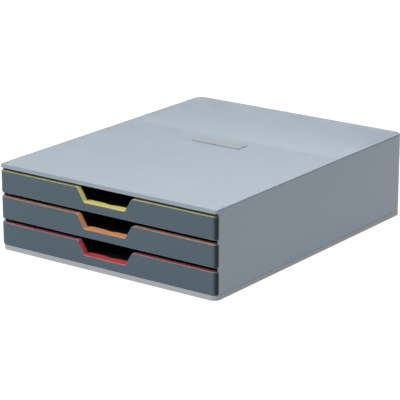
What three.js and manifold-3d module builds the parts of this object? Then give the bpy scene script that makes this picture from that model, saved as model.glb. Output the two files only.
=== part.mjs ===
import * as THREE from 'three';
import { mergeVertices } from 'three/addons/utils/BufferGeometryUtils.js';
import Module from 'manifold-3d';

// Desktop drawer box for A4 papers: a moulded hood over a base pan, with three
// drawers that slide out on ledges. Each drawer is a tray with a clipped-on front,
// and a coloured strip caps the joint between them along the top edge and down
// round the finger notch. Millimetres, Z up, front towards -Y. The origin is on
// the desk, under the middle of the box.

const wasm = await Module();
wasm.setup();

// Whole box
const boxWidth = 280;
const boxDepth = 356;
const hoodTop = 95;
const drawerCount = 3;

// Fits
const seatGap = 0.25;
const runGap = 0.3;
const sideGap = 0.6;
const cutOverrun = 2;
const weldOverlap = 0.4;
const roundSteps = 6;
const grid = 1 / 1024;

// Hood: lid, side walls and rear wall in one moulding
const wallThickness = 2.5;
const lidThickness = 3;
const lipHeight = 3.9;
const lipThickness = 2.6;
const lidCornerRadius = 4;
const rearCornerRadius = 11;
const topEdgeRadius = 1.2;

// Crowned rear field of the lid, counted from the front
const crownFront = 222.5;
const crownRise = 0.6;
const crownRearMargin = 11;
const crownSideFade = 14;

// Badge plate, seated in a sunk place and standing a little proud of the lid
const badgeWidth = 62;
const badgeLength = 17.5;
const badgeToCrown = 13;
const badgeThickness = 1.4;
const badgeProud = 0.5;
const badgeCornerRadius = 0.8;

// Base pan
const footStand = 1;
const baseHeight = 5.7;
const baseFloor = 2;
const baseRimWidth = 4.6;
const baseCornerRadius = 8;
const baseEdgeRadius = 0.9;
const panRibWidth = 1.5;
const panRibHeight = 2.6;
const panCrossRibHeight = 2.2;
const panRibsAcross = 3;
const panRibsAlong = 3;

// Feet and the screws above them
const footRadius = 5;
const footSunk = 1;
const footEdgeRadius = 0.6;
const fixingInset = 22;
const screwHeadRadius = 2.8;
const screwHeadHeight = 1.6;
const screwRadius = 1.5;
const screwLength = 4;
const screwTip = 1;
const pillarRadius = 5.2;
const pillarWeb = 1.4;
const bossRadius = 3.5;
const bossSkin = 0.5;

// Runner frames
const panelThickness = 1.8;
const ledgeWidth = 8;
const ledgeThickness = 1.7;
const stopWidth = 3;
const stopLength = 5;
const stopDrop = 4;

// Drawers
const frontLift = 0.8;
const frontGap = 4.9;
const lidGap = 3.3;
const shadowGap = 1;
const trayLift = 1.2;
const travel = 240;

// Drawer front
const skinThickness = 2;
const skinLip = 1;
const frontSideInset = 0.5;
const frontEndWidth = 5.5;
const frontEndDepth = 4.2;
const frontReturn = 2.4;
const frontFlange = 1.5;
const spacerWidth = 1.6;
const spacerShares = [-0.93, -0.62, -0.13, 0.13, 0.62, 0.93];

// Clips that hold the front to the tray
const clipWidth = 8;
const clipThickness = 1.6;
const clipBarb = 0.9;
const clipBarbLength = 1.1;
const clipRise = 8;
const clipShares = [-0.8, -0.45, 0.45, 0.8];

// Finger notch
const notchTopWidth = 71.6;
const notchFloorWidth = 53.4;
const notchSill = 8.6;
const notchTopRadius = 2.8;
const notchFloorRadius = 3.5;

// Coloured strip
const stripThickness = 1.6;
const webHeight = 3.4;
const shelfDepth = 12.4;
const shelfWing = 2.5;
const shelfEndRadius = 2.5;
const scoopWidth = 25;
const scoopDepth = 1.8;

// Tray
const bulkheadThickness = 2.2;
const trayWall = 1.8;
const trayFloor = 1.6;
const trayWallDrop = 2.5;
const trayCornerRadius = 6;
const trayRearSpace = 5.5;

// Places worked out from the sizes above
const halfWidth = boxWidth / 2;
const frontFace = -boxDepth / 2;
const rearFace = boxDepth / 2;
const baseTop = footStand + baseHeight;
const panFloorTop = footStand + baseFloor;
const hoodInnerHalf = halfWidth - wallThickness;
const hoodInnerRear = rearFace - wallThickness;
const mouthPlane = frontFace + frontEndDepth + shadowGap;
const lidUnderside = hoodTop - lidThickness;
const lipBottom = hoodTop - lipHeight;

const stackBottom = baseTop + frontLift;
const stackHeight = lipBottom - lidGap - stackBottom;
const frontHeight = (stackHeight - (drawerCount - 1) * frontGap) / drawerCount;
const drawerPitch = frontHeight + frontGap;
const notchDepth = frontHeight - notchSill;

const panelOuter = hoodInnerHalf - seatGap;
const panelInner = panelOuter - panelThickness;
const ledgeInner = panelInner - ledgeWidth;
const trayOuterHalf = panelInner - sideGap;
const trayInnerHalf = trayOuterHalf - trayWall;
const trayRear = hoodInnerRear - trayRearSpace;

const frontHalf = halfWidth - frontSideInset;
const skinRear = frontFace + skinThickness;
const frontReturnRear = frontFace + frontEndDepth;
const stripFront = frontFace + skinLip + seatGap;
const stripHalf = frontHalf - frontReturn - seatGap;
const bulkheadFront = frontReturnRear + seatGap + spacerWidth / 2;
const bulkheadRear = bulkheadFront + bulkheadThickness;
const panelFront = bulkheadRear + runGap;

const fixingX = (panelInner + ledgeInner) / 2;
const fixingY = rearFace - fixingInset;
const footCeiling = footStand + footSunk;
const screwSeat = footCeiling + screwHeadHeight;
const pillarTop = screwSeat + pillarWeb;

const stopRear = panelFront + stopLength;
const railFront = stopRear + travel + runGap;

const crownFrontY = frontFace + crownFront;
const badgeRearY = crownFrontY - badgeToCrown;
const badgeFrontY = badgeRearY - badgeLength;
const badgeBottom = hoodTop + badgeProud - badgeThickness;
const crownRearY = rearFace - crownRearMargin;

// Heights of one drawer, counted from the bottom drawer as 0
function drawerLevels(index) {
  const bottom = stackBottom + index * drawerPitch;
  const top = bottom + frontHeight;
  const trayBottom = bottom + trayLift;
  const ledgeTop = trayBottom - runGap;
  const nextLedgeUnderside = ledgeTop + drawerPitch - ledgeThickness;
  return { bottom, top, trayBottom, ledgeTop, nextLedgeUnderside };
}

// Solids and their joins and cuts

const planes = {
  plan: [new THREE.Vector3(1, 0, 0), new THREE.Vector3(0, 1, 0), new THREE.Vector3(0, 0, 1)],
  front: [new THREE.Vector3(1, 0, 0), new THREE.Vector3(0, 0, 1), new THREE.Vector3(0, -1, 0)],
  side: [new THREE.Vector3(0, 1, 0), new THREE.Vector3(0, 0, 1), new THREE.Vector3(1, 0, 0)],
};

// Every point is set on a fine grid, so that faces meant to lie in one plane really do
function toSolid(geometry) {
  const bare = geometry.clone();
  bare.deleteAttribute('normal');
  bare.deleteAttribute('uv');
  const merged = mergeVertices(bare);
  const places = merged.attributes.position.array;
  return new wasm.Manifold(new wasm.Mesh({
    numProp: 3,
    vertProperties: Float32Array.from(places, (place) => Math.round(place / grid) * grid),
    triVerts: new Uint32Array(merged.index.array),
  }));
}

function toGeometry(solid) {
  const mesh = solid.getMesh();
  const geometry = new THREE.BufferGeometry();
  geometry.setAttribute('position', new THREE.BufferAttribute(mesh.vertProperties, mesh.numProp));
  geometry.setIndex(new THREE.BufferAttribute(mesh.triVerts, 1));
  const shown = geometry.toNonIndexed();
  shown.computeVertexNormals();
  return shown;
}

// An outline drawn on one of the planes, pushed from one place to another along its normal
function prism(plane, outline, from, to, bevel) {
  const [across, up, along] = planes[plane];
  const sign = plane === 'front' ? -1 : 1;
  const start = Math.min(sign * from, sign * to);
  const length = Math.abs(to - from);
  const round = bevel ?? { size: 0, length: 0 };
  const geometry = new THREE.ExtrudeGeometry(outline, {
    depth: length - 2 * round.length,
    curveSegments: roundSteps,
    bevelEnabled: bevel !== undefined,
    bevelSize: round.size,
    bevelOffset: -round.size,
    bevelThickness: round.length,
    bevelSegments: roundSteps / 2,
  });
  geometry.translate(0, 0, start + round.length);
  geometry.applyMatrix4(new THREE.Matrix4().makeBasis(across, up, along));
  return toSolid(geometry);
}

// A box from [low, high] along each axis
function block(x, y, z) {
  const geometry = new THREE.BoxGeometry(1, 1, 1);
  geometry.scale(x[1] - x[0], y[1] - y[0], z[1] - z[0]);
  geometry.translate((x[0] + x[1]) / 2, (y[0] + y[1]) / 2, (z[0] + z[1]) / 2);
  return toSolid(geometry);
}

function rod(x, y, radius, bottom, top) {
  const geometry = new THREE.CylinderGeometry(radius, radius, top - bottom, 4 * roundSteps);
  geometry.rotateX(Math.PI / 2);
  geometry.translate(x, y, (bottom + top) / 2);
  return toSolid(geometry);
}

function join(...solids) {
  return solids.reduce((whole, next) => whole.add(next));
}

function cut(solid, ...tools) {
  return tools.reduce((rest, tool) => rest.subtract(tool), solid);
}

// The arc that rounds a corner of an outline between its two neighbours
function roundCorner(corner, before, after, radius) {
  const back = before.clone().sub(corner).normalize();
  const ahead = after.clone().sub(corner).normalize();
  const halfAngle = Math.acos(back.dot(ahead)) / 2;
  const middle = back.clone().add(ahead).normalize();
  const centre = corner.clone().addScaledVector(middle, radius / Math.sin(halfAngle));
  const start = corner.clone().addScaledVector(back, radius / Math.tan(halfAngle));
  const turn = Math.sign(ahead.cross(back)) * (Math.PI - 2 * halfAngle);
  const points = [];
  for (let step = 0; step <= roundSteps; step += 1) {
    points.push(start.clone().rotateAround(centre, (turn * step) / roundSteps));
  }
  return points;
}

// A closed outline through corners of [x, y, radius], sharp where the radius is 0
function roundedOutline(corners) {
  const places = corners.map(([x, y]) => new THREE.Vector2(x, y));
  return new THREE.Shape(corners.flatMap(([, , radius], index) => (
    radius === 0
      ? [places[index]]
      : roundCorner(
        places[index],
        places.at(index - 1),
        places[(index + 1) % places.length],
        radius,
      )
  )));
}

// A rectangle in plan, centred across the box, with its own front and rear corner radii
function planOutline(half, front, rear, frontRadius, rearRadius) {
  return roundedOutline([
    [-half, front, frontRadius],
    [half, front, frontRadius],
    [half, rear, rearRadius],
    [-half, rear, rearRadius],
  ]);
}

// Hood

function buildHood() {
  const outer = prism(
    'plan',
    planOutline(halfWidth, frontFace, rearFace, lidCornerRadius, rearCornerRadius),
    footStand,
    hoodTop,
    { size: topEdgeRadius, length: topEdgeRadius },
  );
  const inside = prism(
    'plan',
    planOutline(
      hoodInnerHalf,
      frontFace + lipThickness,
      hoodInnerRear,
      0,
      rearCornerRadius - wallThickness,
    ),
    0,
    lidUnderside,
  );
  const beyond = halfWidth + cutOverrun;
  const mouth = block([-beyond, beyond], [frontFace - cutOverrun, mouthPlane], [0, lipBottom]);
  const below = block(
    [-beyond, beyond],
    [frontFace - cutOverrun, rearFace + cutOverrun],
    [0, baseTop],
  );
  const shell = cut(outer, inside, mouth, below);
  return cut(join(shell, buildCrown()), buildBadgePocket());
}

// The rear field rises in one shallow arc, which fades out before the sides
function buildCrown() {
  const outline = new THREE.Shape();
  const foot = hoodTop - lidThickness / 2;
  outline.moveTo(crownFrontY, foot);
  outline.lineTo(crownRearY, foot);
  outline.lineTo(crownRearY, hoodTop);
  outline.quadraticCurveTo(
    (crownFrontY + crownRearY) / 2,
    hoodTop + 2 * crownRise,
    crownFrontY,
    hoodTop,
  );
  return prism('side', outline, -halfWidth + topEdgeRadius, halfWidth - topEdgeRadius, {
    size: crownRise,
    length: crownSideFade,
  });
}

// Everything within the badge's plan between two heights
function badgeSolid(clearance, bottom, top) {
  const radius = badgeCornerRadius + clearance;
  const plan = planOutline(
    badgeWidth / 2 + clearance,
    badgeFrontY - clearance,
    badgeRearY + clearance,
    radius,
    radius,
  );
  return prism('plan', plan, bottom, top);
}

function buildBadgePocket() {
  return badgeSolid(seatGap, badgeBottom - seatGap, hoodTop + cutOverrun);
}

function buildBadge() {
  return badgeSolid(0, badgeBottom, badgeBottom + badgeThickness);
}

// Base pan

function buildBase() {
  const outer = prism(
    'plan',
    planOutline(halfWidth, frontFace, rearFace, baseCornerRadius, rearCornerRadius),
    footStand,
    baseTop + baseHeight,
    { size: baseEdgeRadius, length: baseEdgeRadius },
  );
  const beyond = halfWidth + cutOverrun;
  const innerHalf = halfWidth - baseRimWidth;
  const innerFront = frontFace + baseRimWidth;
  const innerRear = rearFace - baseRimWidth;
  const above = block(
    [-beyond, beyond],
    [frontFace - cutOverrun, rearFace + cutOverrun],
    [baseTop, baseTop + baseHeight + cutOverrun],
  );
  const pan = prism(
    'plan',
    planOutline(innerHalf, innerFront, innerRear, baseCornerRadius / 2, rearCornerRadius / 2),
    panFloorTop,
    baseTop + cutOverrun,
  );
  const ribBottom = panFloorTop - weldOverlap;
  const ribs = [];
  for (let index = 1; index <= panRibsAlong; index += 1) {
    const x = -innerHalf + (2 * innerHalf * index) / (panRibsAlong + 1);
    ribs.push(block(
      [x - panRibWidth / 2, x + panRibWidth / 2],
      [innerFront - weldOverlap, innerRear + weldOverlap],
      [ribBottom, panFloorTop + panRibHeight],
    ));
  }
  for (let index = 1; index <= panRibsAcross; index += 1) {
    const y = innerFront + ((innerRear - innerFront) * index) / (panRibsAcross + 1);
    ribs.push(block(
      [-innerHalf - weldOverlap, innerHalf + weldOverlap],
      [y - panRibWidth / 2, y + panRibWidth / 2],
      [ribBottom, panFloorTop + panCrossRibHeight],
    ));
  }
  const pillars = fixings.map(({ x, y }) => rod(x, y, pillarRadius, ribBottom, pillarTop));
  const holes = fixings.flatMap(({ x, y }) => [
    rod(x, y, footRadius + seatGap, 0, footCeiling),
    rod(x, y, screwHeadRadius + seatGap, 0, screwSeat),
    rod(x, y, screwRadius + seatGap, 0, pillarTop + cutOverrun),
  ]);
  return cut(join(cut(outer, above, pan), ...ribs, ...pillars), ...holes);
}

// The four corners where a screw holds a runner frame to the base, over a foot
const fixings = [
  { corner: 'front_left', x: -fixingX, y: -fixingY },
  { corner: 'front_right', x: fixingX, y: -fixingY },
  { corner: 'rear_left', x: -fixingX, y: fixingY },
  { corner: 'rear_right', x: fixingX, y: fixingY },
];

function lathe(profile) {
  const points = profile.map(([radius, z]) => new THREE.Vector2(radius, z));
  const geometry = new THREE.LatheGeometry(points, 4 * roundSteps);
  geometry.rotateX(Math.PI / 2);
  return geometry;
}

function footGeometry() {
  return lathe([
    [0, 0],
    [footRadius - footEdgeRadius, 0],
    [footRadius, footEdgeRadius],
    [footRadius, footCeiling],
    [0, footCeiling],
  ]);
}

// The head hangs below the seat and the thread rises above it
function screwGeometry() {
  const headBottom = footCeiling + seatGap;
  const tip = screwSeat + screwLength;
  return lathe([
    [0, headBottom],
    [screwHeadRadius, headBottom],
    [screwHeadRadius, screwSeat],
    [screwRadius, screwSeat],
    [screwRadius, tip - screwTip],
    [0, tip],
  ]);
}

// Cross-section of a runner frame: an upright panel with a ledge for each drawer
function runnerOutline(side) {
  const panelTop = lidUnderside - seatGap;
  const corners = [[panelOuter, panelTop], [panelOuter, baseTop]];
  for (let index = 0; index < drawerCount; index += 1) {
    const { ledgeTop } = drawerLevels(index);
    const underside = index === 0 ? baseTop : ledgeTop - ledgeThickness;
    if (index > 0) corners.push([panelInner, underside]);
    corners.push([ledgeInner, underside], [ledgeInner, ledgeTop], [panelInner, ledgeTop]);
  }
  corners.push([panelInner, panelTop]);
  return roundedOutline(corners.map(([x, z]) => [side * x, z, 0]));
}

// Runner frame for one side, where side is -1 for left and 1 for right
function buildRunnerFrame(side) {
  const runnerRear = hoodInnerRear - (rearCornerRadius - wallThickness);
  const comb = prism('front', runnerOutline(side), panelFront, runnerRear);
  const stops = [];
  for (let index = 0; index < drawerCount; index += 1) {
    const stopTop = drawerLevels(index).nextLedgeUnderside;
    stops.push(block(
      [side * (panelInner - stopWidth), side * (panelInner + weldOverlap)].sort((a, b) => a - b),
      [panelFront + weldOverlap, stopRear],
      [stopTop - stopDrop, Math.min(stopTop + weldOverlap, lidUnderside - 2 * seatGap)],
    ));
  }
  const ownFixings = fixings.filter(({ x }) => x * side > 0);
  const bosses = ownFixings.map(({ x, y }) => (
    rod(x, y, bossRadius, pillarTop, baseTop + weldOverlap)
  ));
  const pilotTop = drawerLevels(0).ledgeTop - bossSkin;
  const pilots = ownFixings.map(({ x, y }) => (
    rod(x, y, screwRadius + seatGap, 0, pilotTop)
  ));
  return cut(join(comb, ...stops, ...bosses), ...pilots);
}

// Finger notch and the edges that follow it

const notchSlope = (notchTopWidth - notchFloorWidth) / 2 / notchDepth;
const notchSecant = Math.hypot(1, notchSlope);

// Corners of the front's top edge from left to right, moved by an inset into the front
function topEdge(top, inset, half) {
  const level = top - inset;
  const floor = level - notchDepth;
  const floorHalf = notchFloorWidth / 2 + inset * (notchSecant - notchSlope);
  const topHalf = notchTopWidth / 2 + inset * (notchSecant - notchSlope);
  const topRadius = Math.max(notchTopRadius - inset, stripThickness / 2);
  const floorRadius = notchFloorRadius + inset;
  return [
    [-half, level, 0],
    [-topHalf, level, topRadius],
    [-floorHalf, floor, floorRadius],
    [floorHalf, floor, floorRadius],
    [topHalf, level, topRadius],
    [half, level, 0],
  ];
}

// Everything from a flat bottom up to the edge
function underEdgeOutline(bottom, top, inset, half) {
  return roundedOutline([[half, bottom, 0], [-half, bottom, 0], ...topEdge(top, inset, half)]);
}

// Everything from the edge up past the top of the front
function overEdgeOutline(top, inset, half) {
  const above = top + cutOverrun;
  return roundedOutline([[half, above, 0], [-half, above, 0], ...topEdge(top, inset, half)]);
}

// A band that follows the edge between two insets
function bandOutline(top, upperInset, lowerInset, half) {
  const upper = topEdge(top, upperInset, half);
  const lower = topEdge(top, lowerInset, half).reverse();
  return roundedOutline([...upper, ...lower]);
}

// Plan of a drawer front with its rounded ends, moved inwards by an inset
function frontPlan(inset) {
  const plan = new THREE.Shape();
  const roundHalf = frontHalf - frontEndWidth;
  const endWidth = frontEndWidth - inset;
  const endDepth = frontEndDepth - inset;
  plan.moveTo(inset - frontHalf, frontReturnRear);
  plan.absellipse(
    -roundHalf, frontReturnRear, endWidth, endDepth, Math.PI, 1.5 * Math.PI, false,
  );
  plan.absellipse(
    roundHalf, frontReturnRear, endWidth, endDepth, 1.5 * Math.PI, 2 * Math.PI, false,
  );
  return plan;
}

// Everything behind a lip that follows the face plate, as far back as the tray
function behindLip(inset, bottom, top) {
  const plan = frontPlan(inset);
  plan.lineTo(frontHalf - inset, bulkheadRear + cutOverrun);
  plan.lineTo(inset - frontHalf, bulkheadRear + cutOverrun);
  return prism('plan', plan, bottom, top + cutOverrun);
}

// Drawer front: a face plate with rounded ends, a bottom flange, spacers and clips
function buildDrawerFront(index) {
  const { bottom, top } = drawerLevels(index);
  const pocketHalf = frontHalf - frontReturn;
  const pocket = block(
    [-pocketHalf, pocketHalf],
    [skinRear, frontReturnRear + cutOverrun],
    [bottom + frontFlange, top + cutOverrun],
  );
  const profile = prism(
    'front',
    underEdgeOutline(bottom - cutOverrun, top, 0, halfWidth),
    frontFace - cutOverrun,
    bulkheadRear,
  );
  const plate = prism('plan', frontPlan(0), bottom, top + cutOverrun);
  const skin = cut(plate.intersect(profile), pocket);
  const spacerTop = top - notchDepth - stripThickness - webHeight - 2 * seatGap;
  const spacers = spacerShares.map((share) => {
    const x = share * stripHalf;
    return block(
      [x - spacerWidth / 2, x + spacerWidth / 2],
      [skinRear - weldOverlap, bulkheadFront - seatGap],
      [bottom + frontFlange / 2, spacerTop],
    );
  });
  const clipBottom = bottom + clipRise;
  const clipTop = clipBottom + clipThickness;
  const barbFront = bulkheadRear + seatGap;
  const clips = clipShares.flatMap((share) => {
    const x = share * stripHalf;
    const width = [x - clipWidth / 2, x + clipWidth / 2];
    const tongue = [skinRear - weldOverlap, barbFront + clipBarbLength];
    return [
      block(width, tongue, [clipBottom, clipTop]),
      block(width, [barbFront, barbFront + clipBarbLength], [clipBottom, clipTop + clipBarb]),
    ];
  });
  const rebate = prism(
    'front',
    overEdgeOutline(top, stripThickness + seatGap, stripHalf + seatGap),
    frontFace,
    bulkheadFront,
  );
  return cut(join(skin, ...spacers, ...clips), rebate.intersect(behindLip(skinLip, bottom, top)));
}

// Coloured strip: a cap along the edge, a web between front and tray, a grip shelf
function buildColourStrip(index) {
  const { bottom, top } = drawerLevels(index);
  const cap = prism(
    'front', bandOutline(top, 0, stripThickness, stripHalf), frontFace, bulkheadRear,
  );
  const web = prism(
    'front',
    bandOutline(top, stripThickness - weldOverlap, stripThickness + webHeight, stripHalf),
    skinRear + seatGap,
    bulkheadFront - seatGap,
  );
  const shelfHalf = notchFloorWidth / 2 + shelfWing;
  const shelfRear = frontFace + shelfDepth;
  const scoopHalf = scoopWidth / 2;
  const outline = new THREE.Shape();
  outline.moveTo(-shelfHalf, stripFront);
  outline.lineTo(shelfHalf, stripFront);
  outline.lineTo(shelfHalf, shelfRear - shelfEndRadius);
  outline.quadraticCurveTo(shelfHalf, shelfRear, shelfHalf - shelfEndRadius, shelfRear);
  outline.lineTo(scoopHalf, shelfRear);
  outline.bezierCurveTo(
    scoopHalf / 2, shelfRear, scoopHalf / 2, shelfRear - scoopDepth, 0, shelfRear - scoopDepth,
  );
  outline.bezierCurveTo(
    -scoopHalf / 2, shelfRear - scoopDepth, -scoopHalf / 2, shelfRear, -scoopHalf, shelfRear,
  );
  outline.lineTo(shelfEndRadius - shelfHalf, shelfRear);
  outline.quadraticCurveTo(-shelfHalf, shelfRear, -shelfHalf, shelfRear - shelfEndRadius);
  const floor = top - notchDepth;
  const shelf = prism('plan', outline, floor - stripThickness, floor);
  const overTray = prism(
    'front',
    underEdgeOutline(bottom, top, stripThickness, stripHalf),
    frontFace,
    bulkheadRear + seatGap,
  );
  return join(cap.intersect(behindLip(skinLip + seatGap, bottom, top)), web, cut(shelf, overTray));
}

// Tray: low walls in front, raised rails at the rear that guide it and meet the stops
function buildTray(index) {
  const { top, trayBottom, nextLedgeUnderside } = drawerLevels(index);
  const floorTop = trayBottom + trayFloor;
  const wallTop = top - trayWallDrop;
  const railTop = nextLedgeUnderside - runGap;
  const body = prism(
    'plan',
    planOutline(trayOuterHalf, bulkheadFront, trayRear, 0, trayCornerRadius),
    trayBottom,
    railTop,
  );
  const hollow = prism(
    'plan',
    planOutline(
      trayInnerHalf, bulkheadRear, trayRear - trayWall, 0, trayCornerRadius - trayWall,
    ),
    floorTop,
    railTop + cutOverrun,
  );
  const beyond = trayOuterHalf + cutOverrun;
  const railInner = trayOuterHalf - trayCornerRadius;
  const overFront = block(
    [-beyond, beyond],
    [bulkheadFront - cutOverrun, railFront],
    [wallTop, railTop + cutOverrun],
  );
  const overRear = block(
    [-railInner, railInner],
    [railFront - cutOverrun, trayRear + cutOverrun],
    [wallTop, railTop + cutOverrun],
  );
  const behind = block(
    [-beyond, beyond],
    [bulkheadFront - cutOverrun, bulkheadRear],
    [trayBottom - cutOverrun, railTop + cutOverrun],
  );
  const bulkhead = prism(
    'front',
    underEdgeOutline(trayBottom, top, stripThickness + seatGap, stripHalf),
    bulkheadFront,
    bulkheadRear,
  );
  const slots = clipShares.map((share) => {
    const x = share * stripHalf;
    const slotHalf = clipWidth / 2 + seatGap;
    const clipBottom = drawerLevels(index).bottom + clipRise;
    return block(
      [x - slotHalf, x + slotHalf],
      [bulkheadFront - cutOverrun, bulkheadRear + cutOverrun],
      [clipBottom - seatGap, clipBottom + clipThickness + seatGap],
    );
  });
  const pan = cut(body, hollow, overFront, overRear, behind);
  return cut(join(pan, bulkhead), ...slots);
}

// Finishes

const hoodGrey = { color: 0xb2bcc6, roughness: 0.42, metalness: 0 };
const baseGrey = { color: 0x9fa4a3, roughness: 0.5, metalness: 0 };
const innerGrey = { color: 0x2b2c2e, roughness: 0.55, metalness: 0 };
const frontSlate = { color: 0x55646e, roughness: 0.45, metalness: 0 };
const badgeGrey = { color: 0xafb4ba, roughness: 0.35, metalness: 0.3 };
const rubberBlack = { color: 0x1c1d1f, roughness: 0.9, metalness: 0 };
const screwSteel = { color: 0xb9bcc0, roughness: 0.35, metalness: 1 };

const drawers = [
  { place: 'bottom', strip: { color: 0xb8434a, roughness: 0.45, metalness: 0 } },
  { place: 'middle', strip: { color: 0xe0895c, roughness: 0.45, metalness: 0 } },
  { place: 'top', strip: { color: 0xd8d06c, roughness: 0.45, metalness: 0 } },
];

function namedMesh(name, geometry, finish) {
  const mesh = new THREE.Mesh(geometry, new THREE.MeshStandardMaterial(finish));
  mesh.name = name;
  return mesh;
}

// Assembly

const drawerBox = new THREE.Group();

const housing = new THREE.Group();
housing.add(namedMesh('housing_hood', toGeometry(buildHood()), hoodGrey));
housing.add(namedMesh('base_pan', toGeometry(buildBase()), baseGrey));
housing.add(namedMesh('badge_plate', toGeometry(buildBadge()), badgeGrey));
housing.add(namedMesh('runner_frame_left', toGeometry(buildRunnerFrame(-1)), innerGrey));
housing.add(namedMesh('runner_frame_right', toGeometry(buildRunnerFrame(1)), innerGrey));
fixings.forEach(({ corner, x, y }) => {
  const foot = namedMesh(`foot_${corner}`, footGeometry(), rubberBlack);
  const screw = namedMesh(`base_screw_${corner}`, screwGeometry(), screwSteel);
  foot.position.set(x, y, 0);
  screw.position.set(x, y, 0);
  housing.add(foot, screw);
});
drawerBox.add(housing);

drawers.forEach(({ place, strip }, index) => {
  const drawer = new THREE.Group();
  drawer.add(namedMesh(`drawer_tray_${place}`, toGeometry(buildTray(index)), innerGrey));
  drawer.add(namedMesh(`drawer_front_${place}`, toGeometry(buildDrawerFront(index)), frontSlate));
  drawer.add(namedMesh(`colour_strip_${place}`, toGeometry(buildColourStrip(index)), strip));
  drawerBox.add(drawer);
});

export default drawerBox;
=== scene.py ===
"""Low desktop drawer box for A4 papers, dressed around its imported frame.

Metres, Z up, drawer fronts towards -Y. The origin is on the desk under the middle of the box.
"""

import math
from contextlib import contextmanager

import bmesh
import bpy
from bpy.props import FloatProperty, FloatVectorProperty, IntProperty, PointerProperty
from mathutils import Matrix, Vector
from mathutils.geometry import intersect_point_line


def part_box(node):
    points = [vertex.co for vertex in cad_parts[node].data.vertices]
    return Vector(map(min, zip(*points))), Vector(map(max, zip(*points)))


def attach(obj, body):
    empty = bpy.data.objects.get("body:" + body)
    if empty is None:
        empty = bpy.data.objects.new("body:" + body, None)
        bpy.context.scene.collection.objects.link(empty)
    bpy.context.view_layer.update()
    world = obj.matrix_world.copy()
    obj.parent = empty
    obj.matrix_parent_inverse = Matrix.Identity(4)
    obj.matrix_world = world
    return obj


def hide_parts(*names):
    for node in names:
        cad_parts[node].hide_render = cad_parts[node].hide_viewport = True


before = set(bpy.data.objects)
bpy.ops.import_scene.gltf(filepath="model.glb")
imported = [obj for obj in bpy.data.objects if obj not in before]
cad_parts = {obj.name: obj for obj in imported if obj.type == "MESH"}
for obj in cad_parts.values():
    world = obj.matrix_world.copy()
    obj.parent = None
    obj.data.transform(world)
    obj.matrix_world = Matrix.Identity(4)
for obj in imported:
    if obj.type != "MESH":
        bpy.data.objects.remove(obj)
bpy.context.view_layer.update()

bl_info = {
    "name": "Desktop drawer box",
    "version": (1, 0, 0),
    "blender": (4, 5, 0),
    "location": "3D View > Sidebar > Drawer Box",
    "description": "Builds a low drawer box with three drawers around its packed frame",
    "category": "Object",
}

MM = 0.001
GRID = MM / 1024  # points are set on this grid
OVERRUN = 2 * MM  # how far a cutting block reaches past what it cuts
WELD = 0.4 * MM  # how far joined shapes reach into each other
SEAT_GAP = 0.25 * MM  # round a piece that is seated in another
ARC_STEPS = 12  # faces round a corner
EDGE_STEPS = 8  # faces across a slab's rounded edge
SOFT_STEPS = 3  # faces across any other rounded edge
TURN_STEPS = 48  # faces round a turned piece
SHARP = math.radians(32)  # edges that turn further than this are rounded or stay sharp
FLAT = 0.05  # degrees between faces that are taken as one
FOLD_AREA = 0.001 * MM * MM  # extra area that shows that a face folds over itself
ROUND_TRIES = 6  # how often the rounding is tried without the edges that fold
NARROW = 0.6  # share of a rounding's width below which a face is part of the edge
PLACES = ("bottom", "middle", "top")

hood_low, hood_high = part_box("housing_hood")
base_low, base_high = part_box("base_pan")


# Properties that a user may change


def length(name, description, millimetres):
    return FloatProperty(
        name=name,
        description=description,
        default=millimetres * MM,
        min=0.0,
        precision=5,
        subtype="DISTANCE",
        unit="LENGTH",
    )


def count(name, description, default):
    return IntProperty(name=name, description=description, default=default, min=1)


def paint(name, description, red, green, blue):
    return FloatVectorProperty(
        name=name,
        description=description,
        default=(red, green, blue),
        min=0.0,
        max=1.0,
        size=3,
        subtype="COLOR",
    )


class HoodSizes(bpy.types.PropertyGroup):
    """Lid, side walls and rear wall in one moulding"""

    wall: length("Wall", "Thickness of the side and rear walls", 2.5)
    lid: length("Lid", "Thickness of the lid", 3.0)
    lip_height: length("Lip height", "Height of the lid's front lip", 3.9)
    lip_thickness: length("Lip thickness", "Thickness of the lid's front lip", 2.6)
    mouth_setback: length("Mouth setback", "How far the walls stand behind the lip", 5.2)
    front_corner: length("Front corner", "Radius of the lid's front corners in plan", 4.0)
    rear_corner: length("Rear corner", "Radius of the rear corners in plan", 11.0)
    top_edge: length("Top edge", "Rounding of the lid's upper edge", 1.2)
    crown_front: length("Crown front", "From the front to where the lid starts to rise", 222.5)
    crown_rise: length("Crown rise", "Height of the arc over the rear of the lid", 0.6)
    crown_margin: length("Crown margin", "Flat strip left behind the arc", 11.0)
    crown_fade: length("Crown fade", "Width over which the arc fades out at each side", 14.0)
    edge: length("Soft edge", "Rounding of every other edge of the hood", 0.35)


class BadgeSizes(bpy.types.PropertyGroup):
    """Bare plate seated in a sunk place on the lid"""

    thickness: length("Thickness", "Thickness of the plate", 1.4)
    proud: length("Proud", "How far the plate stands over the lid", 0.5)
    corner: length("Corner", "Radius of the plate's corners in plan", 0.8)
    edge: length("Soft edge", "Rounding of the plate's edges", 0.3)


class BaseSizes(bpy.types.PropertyGroup):
    """Ribbed pan that the hood stands on"""

    floor: length("Floor", "Thickness of the pan's floor", 2.0)
    rim: length("Rim", "Width of the rim round the pan", 4.6)
    front_corner: length("Front corner", "Radius of the front corners in plan", 8.0)
    under_edge: length("Under edge", "Rounding of the lower edge", 0.9)
    rib_width: length("Rib width", "Thickness of the ribs", 1.5)
    rib_height: length("Rib height", "Height of the ribs that run front to rear", 2.6)
    cross_height: length("Cross rib height", "Height of the ribs that run across", 2.2)
    ribs_along: count("Ribs along", "Number of ribs that run front to rear", 3)
    ribs_across: count("Ribs across", "Number of ribs that run across", 3)
    edge: length("Soft edge", "Rounding of the other edges", 0.35)


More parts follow.
